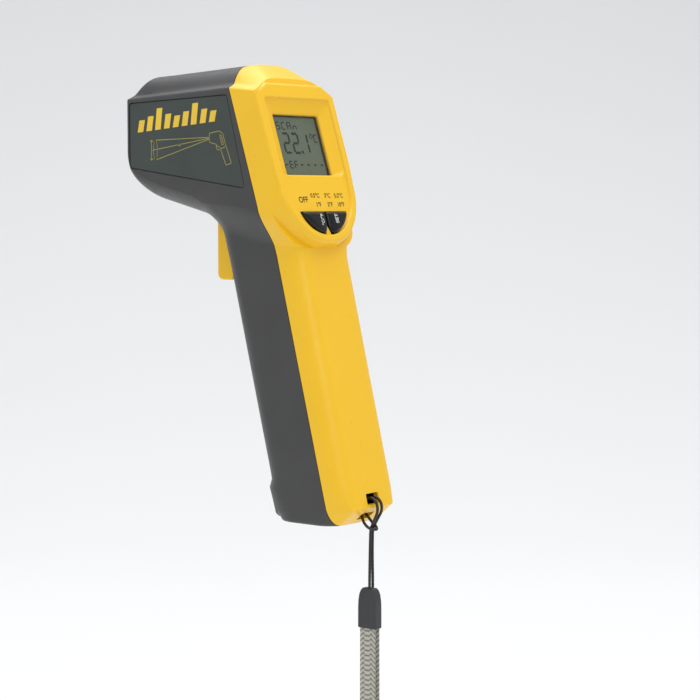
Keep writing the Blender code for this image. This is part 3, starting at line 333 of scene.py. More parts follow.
def bevel(obj, width, segments):
    """Rounds the sharp edges of a simple solid."""
    modifier = obj.modifiers.new("edge", "BEVEL")
    modifier.width = width
    modifier.segments = segments
    modifier.limit_method = "ANGLE"
    modifier.angle_limit = math.radians(40.0)
    return settle(obj)


def bridge(bm, rows, closed=True):
    """Faces between neighbouring rows of vertices, around each row when it is closed."""
    for low, high in zip(rows, rows[1:]):
        for k in range(len(low) if closed else len(low) - 1):
            after = (k + 1) % len(low)
            bm.faces.new((low[k], low[after], high[after], high[k]))


def loft(name, rings, matrix=None):
    """A solid through rings of points that all have the same count, capped at both ends."""
    bm = bmesh.new()
    rows = [[bm.verts.new(p) for p in ring] for ring in rings]
    bridge(bm, rows)
    bm.faces.new(rows[0][::-1])
    bm.faces.new(rows[-1])
    if matrix:
        bmesh.ops.transform(bm, verts=bm.verts, matrix=matrix)
    return mesh_object(name, bm)


def mm(*points):
    """Points given in millimetres, in metres."""
    return [tuple(v * MM for v in p) for p in points]


def plates(name, outlines, low, high, matrix):
    """Thin flat shapes in one mesh, from outlines in millimetres and their heights."""
    bm = bmesh.new()
    for outline in outlines:
        rows = [[bm.verts.new((p[0] * MM, p[1] * MM, h * MM)) for p in outline] for h in (low, high)]
        bm.faces.new(rows[0][::-1])
        bm.faces.new(rows[1])
        bridge(bm, rows)
    bmesh.ops.transform(bm, verts=bm.verts, matrix=matrix)
    return mesh_object(name, bm)


def prism(name, outline, low, high, matrix=UPRIGHT):
    return loft(name, [[(a, b, c) for a, b in outline] for c in (low, high)], matrix=matrix)


def box(name, low, high, matrix=None):
    return loft(name, [[(low[0], low[1], c), (high[0], low[1], c), (high[0], high[1], c), (low[0], high[1], c)]
                       for c in (low[2], high[2])], matrix=matrix)


AXES = {"X": Matrix.Rotation(math.pi / 2, 4, "Y"), "Y": Matrix.Rotation(-math.pi / 2, 4, "X")}


def turned(name, profile_mm, centre, axis="X", steps=72):
    """A turned solid from (radius, height) points in millimetres, starting and ending on its axis."""
    bm = bmesh.new()
    ring = [bm.verts.new((r * MM, 0.0, h * MM)) for r, h in profile_mm]
    edges = [bm.edges.new(pair) for pair in zip(ring, ring[1:])]
    bmesh.ops.spin(bm, geom=ring + edges, axis=(0, 0, 1), cent=(0, 0, 0), steps=steps, angle=2 * math.pi)
    bmesh.ops.remove_doubles(bm, verts=bm.verts, dist=1e-7)
    bmesh.ops.transform(bm, verts=bm.verts, matrix=Matrix.Translation(Vector(centre)) @ AXES[axis])
    return mesh_object(name, bm)


def cylinder(name, centre, radius, length):
    """A round bar across the body."""
    r, h = radius / MM, length / MM / 2
    return turned(name, [(0, -h), (r, -h), (r, h), (0, h)], centre, "Y", 32)


def smooth_route(points, count):
    """Evenly spread points of a smooth curve through the route's own points."""
    route = np.array(points, dtype=float)
    padded = np.vstack([2 * route[0] - route[1], route, 2 * route[-1] - route[-2]])
    samples = []
    for a, b, c, d in zip(padded, padded[1:], padded[2:], padded[3:]):
        for t in np.linspace(0, 1, 24, endpoint=False):
            samples.append(0.5 * (2 * b + (c - a) * t + (2 * a - 5 * b + 4 * c - d) * t * t
                                  + (3 * b - a - 3 * c + d) * t ** 3))
    samples = np.array(samples + [route[-1]])
    reach = np.concatenate([[0], np.cumsum(np.linalg.norm(np.diff(samples, axis=0), axis=1))])
    spread = np.linspace(0, reach[-1], count)
    return np.array([[np.interp(s, reach, samples[:, k]) for k in range(3)] for s in spread])


def directions(path):
    tangent = np.gradient(path, axis=0)
    return tangent / np.linalg.norm(tangent, axis=1)[:, None]


def path_length(path):
    return float(np.linalg.norm(np.diff(path, axis=0), axis=1).sum())


def rounded(corners, radius, steps=5):
    """An outline with each corner replaced by an arc; radius is one value or one for each corner."""
    radii = radius if isinstance(radius, (list, tuple)) else [radius] * len(corners)
    outline = []
    for k, corner in enumerate(corners):
        here = Vector(corner)
        before = (Vector(corners[k - 1]) - here).normalized()
        after = (Vector(corners[(k + 1) % len(corners)]) - here).normalized()
        half = before.angle(after) / 2
        reach = radii[k] / math.tan(half)
        centre = here + (before + after).normalized() * (radii[k] / math.sin(half))
        start, end = here + before * reach - centre, here + after * reach - centre
        turn = start.angle_signed(end)
        for step in range(steps + 1):
            arm = start.copy()
            arm.rotate(Matrix.Rotation(-turn * step / steps, 2))
            outline.append(tuple(centre + arm))
    return outline


def face_matrix():
    """Frame of the display face: local X is across, Y up the face, Z out of it."""
    up = Vector((-math.sin(FACE_TILT), 0.0, math.cos(FACE_TILT)))
    rotation = Matrix((up.cross(FACE_OUT), up, FACE_OUT)).transposed().to_4x4()
    return Matrix.Translation(FACE_CENTRE) @ rotation


FACE_OUT = Vector((math.cos(FACE_TILT), 0.0, math.sin(FACE_TILT)))
FACE = face_matrix()


def world(points_mm):
    """Points given in millimetres in the body frame, as world points in metres."""
    return [Vector(p) * MM - GRIP_CENTRE for p in points_mm]


# ---------------------------------------------------------------- cord, connector and strap

def lanyard_points():
    """The cord's hitch around the bar between the two eyes: up one strand, down the other."""
    half = [(94.6, -0.9, -167.3), (94.6, -0.85, -163), (94.6, -0.7, -157), (94.7, -0.62, -151), (95.0, -0.6, -147),
            (96.6, -0.8, -143.8), (98.1, -1.1, -140.8), (97.9, -1.2, -138.2), (96.4, -1.2, -136.6),
            (94.2, -1.2, -136.5), (91.9, -1.2, -137.3), (90.4, -1.2, -139.2), (90.6, -1.3, -141.4),
            (92.0, -1.6, -143.4), (93.4, -2.1, -145.2), (95.3, -1.9, -146.6)]
    return world(half + [(96.7, 0.0, -147.1)] + [(x, -y, z) for x, y, z in half[::-1]])


def strap_points():
    """The strap's loop in the plane across the body: down one leg and up the other."""
    leg = [(0.9, -180.9), (0.9, -188), (0.95, -198), (1.1, -208), (2.4, -219), (7.0, -236), (14.5, -260),
           (20.5, -285), (20.0, -307), (12.0, -323.5), (0.0, -329)]
    return world([(STRAP_X / MM, y, z) for y, z in leg + [(-y, z) for y, z in leg[-2::-1]]])


def add_connector():
    """Rubber sleeve: a flat box with tapered shoulders on top and an open mouth for the strap below."""
    rings = []
    for z, wide, deep in ((-167.4, 1.9, 1.0), (-167.5, 2.3, 1.35), (-168.2, 2.85, 1.65), (-169.6, 3.35, 1.85),
                          (-171.6, 3.68, 1.9), (-174.0, 3.78, 1.95), (-180.9, 3.8, 1.95), (-181.1, 3.7, 1.85),
                          (-181.1, 3.45, 1.62), (-179.6, 3.45, 1.62)):
        outline = rounded([(-wide, -deep), (wide, -deep), (wide, deep), (-wide, deep)], min(0.5, deep * 0.4), 4)
        rings.append([(STRAP_X + a * MM, b * MM, z * MM) for a, b in outline])
    sleeve = loft("strap_sleeve", rings)
    return add_piece(sleeve, "strap_sleeve", "housing", RUBBER, ["strap_connector"], 50.0)


def add_cord():
    """The thin cord, with the fine spiral of its braid standing on its surface."""
    path = smooth_route(lanyard_points(), 620)
    tangent = directions(path)
    normal = np.cross(tangent[0], (1.0, 0.0, 0.0))
    around, lay, braid_height = 14, 0.42 * MM, 0.022 * MM
    rings, run = [], 0.0
    for k, (centre, axis) in enumerate(zip(path, tangent)):
        normal = normal - axis * normal.dot(axis)
        normal /= np.linalg.norm(normal)
        side = np.cross(axis, normal)
        run += 0.0 if k == 0 else float(np.linalg.norm(centre - path[k - 1]))
        ring = []
        for turn in np.arange(around) * 2 * math.pi / around:
            braid = math.cos(2 * turn + run / lay) * math.cos(2 * turn - run / lay)
            radius = CORD_DIAMETER / 2 + braid_height * braid
            ring.append(tuple(centre + radius * (math.cos(turn) * normal + math.sin(turn) * side)))
        rings.append(ring)
    cord = loft("hitch_cord", rings)
    cord.data.transform(TO_WORLD.inverted())
    add_piece(cord, "hitch_cord", "housing", CORD_BLACK, ["lanyard_cord"], 60.0, False)


def add_strap():
    """Woven strap: four columns of slanting threads, alternately left and right, on a flat band."""
    pitch, columns, slope, depth = 1.7 * MM, 4, 0.95, 0.28
    length = path_length(smooth_route(strap_points(), 400))
    count = int(length / (0.22 * MM))
    path = smooth_route(strap_points(), count)
    across, around = np.array((1.0, 0.0, 0.0)), 44
    half_width, half_thickness = STRAP_WIDTH / 2, STRAP_THICKNESS / 2
    rings, strand = [], []
    for k, (centre, axis) in enumerate(zip(path, directions(path))):
        normal = np.cross(axis, across)
        ring = []
        for j in range(around):
            turn = 2 * math.pi * (j + 0.5) / around
            c, s = math.cos(turn), math.sin(turn)
            wide = half_width * math.copysign(abs(c) ** 0.55, c)
            thick = half_thickness * math.copysign(abs(s) ** 0.45, s)
            place = (wide + half_width) / STRAP_WIDTH * columns
            column = min(columns - 1, int(place))
            within = place - column
            slant = (1 if column % 2 else -1) * (within - 0.5) * slope
            wave = abs(math.sin(math.pi * (k * length / count / pitch + slant + (0.5 if s < 0 else 0.0))))
            valley = max(0.0, math.sin(math.pi * within)) ** 0.35
            height = wave * (0.35 + 0.65 * valley)
            strand.append(height)
            lift = 1.0 - depth * (1.0 - height)
            ring.append(tuple(centre + across * wide * (0.97 + 0.03 * height) + normal * thick * lift))
        rings.append(ring)
    strap = loft("woven_strap", rings)
    strap.data.transform(TO_WORLD.inverted())
    # the weave's height, which the webbing material uses to paint shade into the valleys
    attribute = strap.data.attributes.new("strand", "FLOAT", "POINT")
    attribute.data.foreach_set("value", np.array(strand, np.float32))
    add_piece(strap, "woven_strap", "housing", WEBBING, ["wrist_strap"], 180.0, False)


connector = add_connector()
add_cord()
add_strap()


# ---------------------------------------------------------------- the housing's form

def bezier(a, b, c, steps):
    """Points of a quadratic curve, without its first point."""
    a, b, c = np.array(a), np.array(b), np.array(c)
    return [tuple((1 - t) ** 2 * a + 2 * t * (1 - t) * b + t * t * c) for t in np.linspace(0, 1, steps + 1)[1:]]


def straight(a, b, count):
    return [tuple(np.array(a) * (1 - t) + np.array(b) * t) for t in np.linspace(0, 1, count)]


def front_line(z):
    return GRIP_FRONT[0] + GRIP_LEAN * (GRIP_FRONT[1] - z)


def back_line(z):
    return 74.5 * MM + 0.245 * (-52.0 * MM - z)


def face_line(z):
    return FACE_CENTRE.x + math.tan(FACE_TILT) * (FACE_CENTRE.z - z)


def top_line(x):
    """Height of the head's upper side edge."""
    return float(np.interp(x, [0.0, 48.8 * MM, 62.0 * MM], [0.0, 2.7 * MM, 1.2 * MM]))


def half_width(x, z):
    """Half width of the body before its edges are rounded."""
    above = (z - CHIN_START[1] + UNDERSIDE_SLOPE * (x - CHIN_START[0])) * 0.97
    u = np.clip((above + 4.0 * MM) / (13.0 * MM), 0.0, 1.0)
    return HANDLE_HALF_WIDTH + (HEAD_HALF_WIDTH - HANDLE_HALF_WIDTH) * u * u * (3 - 2 * u)


def roof(x, y, edge):
    """Height of the roof over the side edge: a sloping ledge, then the raised crown."""
    ledge = 1.1 * MM * min(1.0, max(0.0, (edge - abs(y)) / (2.6 * MM)))
    start, full = 0.3 * MM, 6.2 * MM
    if x <= start:
        return ledge
    crown = np.interp(x, [full, 50.0 * MM, 60.5 * MM, 64.0 * MM], np.array([6.9, 7.2, 2.3, 1.0]) * MM)
    rise = (1 - (max(0.0, full - x) / (full - start)) ** 2) ** 0.5
    across = min(1.0, abs(y) / float(np.interp(x, [0.0, 12.0 * MM], [16.6 * MM, 17.3 * MM])))
    flatness = np.interp(x, [0.0, 12.0 * MM, 50.0 * MM, 60.0 * MM], [6.0, 4.2, 3.8, 5.0])
    return ledge + crown * rise * (1 - across ** flatness) ** np.interp(x, [0.0, 40.0 * MM], [0.8, 1.1])


def edge_loss(distance, radius):
    """How much a rounded edge takes off the half width at this distance from the edge."""
    inside = np.clip(distance, 0.0, radius)
    return radius - np.sqrt(radius ** 2 - (radius - inside) ** 2)


def distance_to(line, point):
    a, b = line[:-1], line[1:]
    step = b - a
    t = np.clip(((point - a) * step).sum(1) / np.maximum((step ** 2).sum(1), 1e-16), 0, 1)
    gap = np.linalg.norm(a + step * t[:, None] - point, axis=1)
    nearest = int(np.argmin(gap))
    return gap[nearest], nearest + t[nearest]


def inset_line(points, amount):
    """The outline moved inwards; the outline runs with the body on its left."""
    points = np.array(points)
    tangent = np.gradient(points, axis=0)
    tangent /= np.maximum(np.linalg.norm(tangent, axis=1), 1e-12)[:, None]
    return points + amount * np.stack([-tangent[:, 1], tangent[:, 0]], 1)


def body_form(name, wall, fine):
    """The closed outer form of head and grip, or the hollow inside it when wall is given.

    The head's side is a grid of columns from the underside to the top edge, the grip's side one of rows
    from its front to its back, and a strip around the outline and the roof joins the two sides.
    """
    nose = [(0.0, -NOSE_HEIGHT)]
    nose += bezier(nose[0], (0.0, -32.8 * MM), CHIN_START, 9 * fine)
    fillet_start = (30.1 * MM, -40.3 * MM)
    under = straight(CHIN_START, fillet_start, 4 * fine + 1)[1:]
    fillet = bezier(fillet_start, GRIP_FRONT, (front_line(-48.5 * MM), -48.5 * MM), 6 * fine)
    head_front = nose + under + fillet[:3 * fine]
    neck_back = (face_line(-46.0 * MM) + 3.0 * MM, -46.0 * MM)
    knee = np.array(head_front[-1])
    span = np.array(neck_back) - knee
    length = np.linalg.norm(span)
    turn = np.linspace(0, math.pi / 2, 5 * fine + 1)[1:]
    from_front = GRIP_FRONT_RADIUS * (1 - np.cos(turn))
    from_back = BACK_RADIUS * (1 - np.cos(turn))
    middle = np.linspace(from_front[-1], length - from_back[-1], 5 * fine + 1)[1:-1]
    across = np.concatenate([from_front, middle, length - from_back[::-1], [length]]) / length
    bottom_of_head = np.array(head_front + [tuple(knee + span * t) for t in across])
    neck_start = len(head_front) - 1

    grip_z = np.array([-52, -56, -62, -80, -105, -128, -131.5, -134.5, -138.5, -142]) * MM
    flare = np.array([0, 0, 0, 0, 0, 0, 0, 1.9, 1.6, 1.3]) * MM
    front = fillet[3 * fine:] + [(front_line(z) - f, z) for z, f in zip(grip_z, flare)]
    foot = front[-1]
    front += bezier(foot, (foot[0] + 0.4 * MM, BOTTOM_Z), (62.8 * MM, BOTTOM_Z), 4 * fine)
    back_z = np.array([-52, -56, -62, -80, -105, -124, -128, -131.5, -134.5]) * MM
    throat = bezier(neck_back, (face_line(-50 * MM) + 1 * MM, -50 * MM), (back_line(-52 * MM), -52 * MM), 3 * fine)
    back = throat[:-1] + [(back_line(z), z) for z in back_z]
    heel = (back_line(-139.5 * MM), -139.5 * MM)
    toe = (89.0 * MM, BOTTOM_Z)
    back += straight(heel, toe, len(front) - len(back))
    top_x = bottom_of_head[:, 0].copy()
    tail = np.linspace(0, 1, len(top_x) - neck_start)
    top_x[neck_start:] = top_x[neck_start] + (HEAD_BACK - top_x[neck_start]) * tail
    top = np.array([(x, top_line(x)) for x in top_x])
    front_grid = np.array([bottom_of_head[neck_start]] + front)
    back_grid = np.array([bottom_of_head[-1]] + back)

    if wall:
        outline = inset_line(np.vstack([[[0.0, 0.0]], head_front, front]), wall)
        bottom_of_head[:neck_start + 1] = outline[1:neck_start + 2]
        front_grid = outline[neck_start + 1:]
        rear = inset_line(np.vstack([[back_grid[-1] - [wall, 0]], back_grid[::-1], [[HEAD_BACK, 1.2 * MM]]]), wall)
        back_grid = rear[1:-1][::-1]
        front_grid[-1] = (front_grid[-1][0], BOTTOM_Z + wall)
        back_grid[-1] = (back_grid[-1][0], BOTTOM_Z + wall)
        bottom_of_head[neck_start:] = [front_grid[0] + (back_grid[0] - front_grid[0]) * t
                                       for t in np.concatenate([[0], across])]
        top[:, 0] = np.maximum(top[:, 0], wall)
        top[:neck_start + 1, 0] = bottom_of_head[:neck_start + 1, 0]
        top[:, 1] -= wall

    front_edge = np.vstack([[top[0]], bottom_of_head[:neck_start + 1], front_grid[1:]])
    soft = max(0.3 * MM, 1.2 * MM - wall)
    front_radius = np.interp(np.arange(len(front_edge)),
                             [0, 1, 1 + 9 * fine, neck_start + 1, neck_start + 1 + 4 * fine, len(front_edge)],
                             [soft, soft, 6 * MM, 6.5 * MM, GRIP_FRONT_RADIUS, GRIP_FRONT_RADIUS])
    height_steps = 6.5 * MM * (1 - np.cos(np.linspace(0, math.pi / 2, 6 * fine + 1)))
    height_steps = np.append(height_steps, 10.5 * MM)
    floor = np.vstack([front_grid[-1], back_grid[-1]])

    def width_at(point):
        gap, index = distance_to(front_edge, point)
        loss = edge_loss(gap, np.interp(index, np.arange(len(front_edge)), front_radius))
        gap, index = distance_to(back_grid, point)
        loss += edge_loss(gap, BACK_RADIUS)
        gap, _ = distance_to(top, point)
        loss += edge_loss(gap, max(0.2 * MM, 0.8 * MM - wall / 2))
        gap, _ = distance_to(floor, point)
        loss += edge_loss(gap, soft)
        return half_width(*point) - wall - loss

    head = []
    for low, high in zip(bottom_of_head, top):
        length = high[1] - low[1]
        rows = np.concatenate([height_steps, length - 0.8 * MM * np.array([1.0, 0.5, 0.13, 0.0])])
        rows = np.insert(rows, len(height_steps), (height_steps[-1] + length - 0.8 * MM) / 2)
        head.append([low + (high - low) * t / length for t in rows])
    grip = [[a + (b - a) * t for t in np.concatenate([[0], across])] for a, b in zip(front_grid, back_grid)]

    bm = bmesh.new()

    def add_grid(rows):
        verts = [[bm.verts.new(p) for p in row] for row in rows]
        for upper, lower in zip(verts, verts[1:]):
            for k in range(len(upper) - 1):
                corners = [upper[k], upper[k + 1], lower[k + 1], lower[k]]
                if len({tuple(round(c, 8) for c in v.co) for v in corners}) > 2:
                    bm.faces.new(corners)

    for side in (-1, 1):
        for patch in (head, grip):
            add_grid([[(p[0], side * width_at(p), p[1]) for p in row] for row in patch])
    rim = [head[0][k] for k in range(len(head[0]) - 1, -1, -1)]
    rim += [column[0] for column in head[1:neck_start + 1]]
    rim += [row[0] for row in grip[1:]] + grip[-1][1:]
    rim += [row[-1] for row in grip[-2::-1]] + list(head[-1][1:])
    reach = [0.2, 0.45, 0.66, 0.78, 0.87]  # shares of the half width where the roof is sampled
    if fine > 1:
        reach = [0.1, 0.2, 0.3, 0.4, 0.5, 0.58, 0.65, 0.71, 0.76, 0.8, 0.835, 0.87, 0.91, 0.95]
    spread = np.array([-1.0] + [-t for t in reach[::-1]] + reach + [1.0])
    shrink = HEAD_HALF_WIDTH / (HEAD_HALF_WIDTH - wall)
    strip = []
    for k, point in enumerate(rim):
        edge = width_at(point)
        lift = [roof(point[0], y * shrink, edge * shrink) if k in (0, len(rim) - 1) else 0.0 for y in spread * edge]
        strip.append([(point[0], y, point[1] + up) for y, up in zip(spread * edge, lift)])
    add_grid(strip)
    crown = []
    for column in head:
        x, z = column[-1]
        edge = width_at(column[-1])
        crown.append([(x, y, z + roof(x, y * shrink, edge * shrink)) for y in spread * edge])
    add_grid(crown)
    bmesh.ops.remove_doubles(bm, verts=bm.verts, dist=2e-6)
    bmesh.ops.dissolve_degenerate(bm, edges=bm.edges, dist=2e-6)
    bmesh.ops.recalc_face_normals(bm, faces=bm.faces)
    depth = 3.6 * MM if wall else -0.6 * MM
    result = bmesh.ops.bisect_plane(bm, geom=bm.verts[:] + bm.edges[:] + bm.faces[:], clear_outer=True,
                                    plane_co=FACE_CENTRE - FACE_OUT * depth, plane_no=FACE_OUT)
    bmesh.ops.holes_fill(bm, edges=[e for e in result["geom_cut"] if isinstance(e, bmesh.types.BMEdge)], sides=0)
    return mesh_object(name, bm)


def lower_arc(radius):
    """The half circle that ends the display face below, from its left to its right."""
    return [(-radius * math.cos(a), -radius * math.sin(a)) for a in np.linspace(0, math.pi, 61)]


def face_outline(inset, depth=0.0):
    """Outline of the display face at a depth: a half circle below, straight sides and a clipped top."""
    side, shoulder, top, clip = HEAD_HALF_WIDTH - inset, 33.6 * MM - inset * 0.6, RIM_TOP_V - inset, 14.6 * MM
    return lower_arc(FACE_HALF_WIDTH + FACE_DRAFT * depth - inset) + [
        (side, STRAIGHT_V), (side, shoulder), (clip, top), (-clip, top), (-side, shoulder), (-side, STRAIGHT_V)]


def rounded_face():
    """Everything behind the display face, with the face's rim rounded over."""
    rings = []
    for turn in np.linspace(0, math.pi / 2, 7):
        depth = RIM_ROUND * (1 - math.cos(turn))
        inset = RIM_ROUND * (1 - math.sin(turn))
        rings.append([(a, b, -depth) for a, b in face_outline(inset, depth)])
    beyond = 150 * MM
    for depth in (RIM_ROUND + 0.02 * MM, beyond):
        rings.append([(a, b, -depth) for a, b in face_outline(-beyond)])
    return loft("rounded_face", rings, matrix=FACE)


def face_shield(grow):
    """The round lower end of the display face, growing inwards with its draft."""
    rings = []
    for height in (1.0 * MM, -14.0 * MM):
        radius = FACE_HALF_WIDTH + grow - FACE_DRAFT * height
        wide = max(radius, HEAD_HALF_WIDTH + 3 * MM)
        ring = [(wide, 60 * MM), (-wide, 60 * MM), (-wide, STRAIGHT_V)] + lower_arc(radius)
        rings.append([(a, b, height) for a, b in ring + [(wide, STRAIGHT_V)]])
    return loft("shield", rings, matrix=FACE)


def parting_prism(shift, behind):
    """Everything on one side of the seam between dark housing and rear cover."""
    rise, fall = 30.0 * MM, -112.0 * MM
    seam = [(PARTING_TOP[0] - PARTING_SLOPES[0] * (rise - PARTING_TOP[1]), rise), PARTING_KNEE,
            (PARTING_KNEE[0] - PARTING_SLOPES[1] * fall, PARTING_KNEE[1] + fall)]
    seam = [(x + shift, z) for x, z in seam]
    limit = 0.16 if behind else -0.02
    return prism("seam", seam + [(limit, seam[-1][1]), (limit, rise)], -0.05, 0.05)


def form_with_chin(name, wall, fine):
    """The body's form with the back of the neck cleared under the face's round end."""
    form = body_form(name, wall, fine)
    face, neck = face_line(-26 * MM), 0.05 * MM - wall
    relief = prism("chin_relief", [(face - 12 * MM - wall, -22 * MM), (face + 5 * MM, -22 * MM),
                                   (98 * MM, -60 * MM), (back_line(-60 * MM) + neck, -60 * MM),
                                   (back_line(-52 * MM) + neck, -52 * MM)], -0.03, 0.03)
    return cut(form, cut(relief, face_shield(-wall)))


def inner_rim_outline(grow):
    """The raised rim's inner edge: straight sides, a half circle below and a straight step above."""
    side, top, clip = 16.9 * MM + grow, 31.9 * MM + grow, 0.8 * MM
    return lower_arc(FACE_HALF_WIDTH - 3.1 * MM + grow) + [
        (side, STRAIGHT_V), (side, top - clip), (side - clip, top), (clip - side, top), (-side, top - clip),
        (-side, STRAIGHT_V)]


def panel_recess():
    """Space over the sunk display panel, with a soft shoulder on its rim."""
    sink = PANEL_SINK / MM
    steps = ((0.6, 0.95), (0.02, 0.75), (-0.1, 0.42), (-0.3, 0.18), (0.12 - sink, 0.05), (-sink, -0.12))
    rings = [[(a, b, height * MM) for a, b in inner_rim_outline(grow * MM)] for height, grow in steps]
    return loft("panel_recess", rings, FACE)


def window_pocket():
    """The sloping surround of the window: gentle from the rim, steep at the window's edge, with a lip below."""
    wide, high = WINDOW_HALF
    sink = PANEL_SINK / MM
    rings = []
    for depth, side, lip in ((sink - 0.4, 4.9, 1.0), (sink + 0.02, 4.75, 0.75), (sink + 0.25, 4.3, 0.28),
                             (1.75, 2.6, 0.06), (2.2, 1.2, 0.0), (2.45, 0.45, 0.0), (2.75, 0.1, 0.0), (3.2, 0.0, 0.0),
                             (5.0, 0.0, 0.0)):
        grow = side * MM
        low, top = WINDOW_V - high - lip * MM, WINDOW_V + high + grow
        corners = [(-wide - grow, low), (wide + grow, low), (wide + grow, top), (-wide - grow, top)]
        radius = [(0.6 + share * side) * MM for share in (0.5, 0.5, 0.35, 0.35)]
        rings.append([(a, b, -depth * MM) for a, b in rounded(corners, radius, 6)])
    return loft("window_pocket", rings, FACE)


def key_outline(side, grow=0.0):
    """Half of the half-moon that the two keys share, in the face's frame, from its top to its tip."""
    radius = KEY_RADIUS + grow
    top = KEY_TOP_V + grow - KEY_CENTRE_V
    tip = 1.7 * MM - grow
    arc = [(radius * math.cos(a), radius * math.sin(a) + KEY_CENTRE_V)
           for a in np.linspace(math.asin(top / radius), -math.acos(tip / radius), 24)]
    inner = 0.35 * MM if grow == 0 else 0.0
    outline = [(inner, top + KEY_CENTRE_V)] + arc + [(inner, KEY_CENTRE_V - radius + 3.2 * MM + grow)]
    return [(side * a, b) for a, b in outline]


def label_outline(grow=0.0):
    """The side label's outline, or that of its recess when it is grown."""
    signs = ((-1, -1), (1, -1), (0.6, 1), (-1, 1))
    corners = mm((1.9, -24.2), (55.8, -31.6), (47.7, -0.2), (1.9, -1.9))
    return rounded([(x + i * grow, z + k * grow) for (x, z), (i, k) in zip(corners, signs)], 0.8 * MM + grow, 5)


def door_region(grow=0.0):
    """The front of the grip that the battery door takes."""
    top, bottom = -70 * MM + grow, -131.3 * MM - grow - (1.0 * MM if grow else 0.0)
    outline = [(front_line(top) - 8 * MM, top), (front_line(top) + 8 * MM + grow, top),
               (front_line(bottom) + 5.5 * MM + grow, bottom), (front_line(bottom) - 8 * MM, bottom)]
    return prism("door_region", outline, -10.8 * MM - grow, 10.8 * MM + grow)


def nose_block(grow=0.0):
    """The part of the nose that the front cap fills."""
    wide, low, top = 13 * MM + grow, -28.5 * MM - grow, -2.6 * MM + grow
    outline = rounded([(-wide, low), (wide, low), (wide, top), (-wide, top)], 3.0 * MM + grow)
    return prism("nose_block", outline, -2 * MM, 5.0 * MM + grow, ACROSS_X)


def add_rear_cover(outer, hollow):
    """Yellow cover: display face with its rim, sunk panel and window surround, and the back of the grip."""
    cover = cut(keep(copy_of(outer), parting_prism(GAP / 2, True)), copy_of(hollow))
    right, left = key_outline(1, GAP), key_outline(-1, GAP)
    opening = prism("key_opening", right[1:] + left[1:-1][::-1], -6 * MM, 2 * MM, FACE)
    face = rounded_face()
    for tool in (panel_recess(), window_pocket(), opening):
        cut(face, tool)
    keep(cover, face)
    eye = rounded(mm((-3.3, -138.6), (3.3, -138.6), (3.3, -134.8), (-3.3, -134.8)), 0.5 * MM, 4)
    upper_eye = loft("upper_eye", [[(x, y, z) for y, z in eye] for x in (86 * MM, 102 * MM)])
    slope = Matrix.Translation(LOWER_EYE) @ Matrix.Rotation(math.radians(139), 4, "Y")
    lower_eye = box("lower_eye", (-1.9 * MM, -3.3 * MM, -5 * MM), (1.9 * MM, 3.3 * MM, 3 * MM), slope)
    cut(cover, upper_eye, lower_eye)
    return add_piece(cover, "rear_shell", "housing", YELLOW, ["rear_cover"], 52.0)


def add_dark_housing(outer, hollow):
    """The dark halves, the nose cap and the battery door, all cut from one form."""
    dark = keep(copy_of(outer), parting_prism(-GAP / 2, False))
    solid_door = keep(copy_of(dark), door_region())
    cap = keep(copy_of(outer), nose_block())
    cut(dark, copy_of(hollow))
    cut(dark, nose_block(GAP), door_region(GAP))
    gap = mm((29.9, -36), (29.9, -65.2), (45, -65.2), (45, -44), (36.4, -38), (36.4, -36))
    cut(dark, prism("trigger_opening", gap, -6.7 * MM, 6.7 * MM))
    cut(dark, *[prism("label_recess", label_outline(0.4 * MM), *sorted((side * 19.7 * MM, side * 22 * MM)))
                for side in (-1, 1)])
    for side, word in SIDES:
        low, high = sorted((side * GAP / 2, side * 30 * MM))
        half = keep(copy_of(dark), box("half_space", (-0.02, low, -0.2), (0.15, high, 0.05)))
        if side > 0:
            bosses, holes = [], []
            for x, z in HOUSING_SCREWS:
                depth = half_width(x * MM, z * MM) - 1.0 * MM
                bosses.append(cylinder("boss", (x * MM, GAP / 2 + depth / 2, z * MM), 4.2 * MM, depth - GAP))
                holes.append(cylinder("recess", (x * MM, 20 * MM, z * MM), 3.0 * MM, 18.0 * MM))
            join(half, *bosses)
            cut(half, *holes)
        add_piece(half, f"{word}_shell", "housing", DARK, [f"{word}_housing"], 38.0)
    drop(dark)

    for side in (-1, 1):
        join(solid_door, cylinder("door_lug", (DOOR_PIVOT.x, side * 7 * MM, DOOR_PIVOT.z), 2.0 * MM, 4.0 * MM))
    cut(solid_door, copy_of(hollow))
    grooves = [cylinder("groove", (front_line(z * MM) - 0.15 * MM, 0, z * MM), 0.55 * MM, 11 * MM)
               for z in (-74.0, -76.2, -78.4, -80.6)]
    cut(solid_door, *grooves)
    add_piece(solid_door, "door_shell", "battery_door", DARK, ["battery_door"], 38.0)

    funnel = turned("funnel", [(0, -1), (8.6, -1), (8.6, 0.0), (8.2, 0.35), (7.9, 0.6), (7.9, 1.5), (7.5, 1.5),
                               (7.5, 2.6), (7.1, 2.6), (7.1, 3.7), (6.75, 3.7), (6.75, 7), (0, 7)], (0, 0, LENS_Z))
    sight = turned("sight", [(0, -1), (1.9, -1), (1.9, 0.0), (1.5, 0.4), (1.4, 3.0), (2.6, 3.0), (2.6, 7), (0, 7)],
                   (0, 0, POINTER_Z), steps=40)
    cut(cap, funnel, sight)
    add_piece(cap, "nose_plate", "housing", SOFT_BLACK, ["nose_cap"], 38.0)


outer_form = form_with_chin("outer_form", 0.0, FINE)
inner_form = form_with_chin("inner_form", WALL, 1)
add_rear_cover(outer_form, inner_form)
add_dark_housing(outer_form, inner_form)
drop(outer_form, inner_form)


# ---------------------------------------------------------------- keys, legends and display

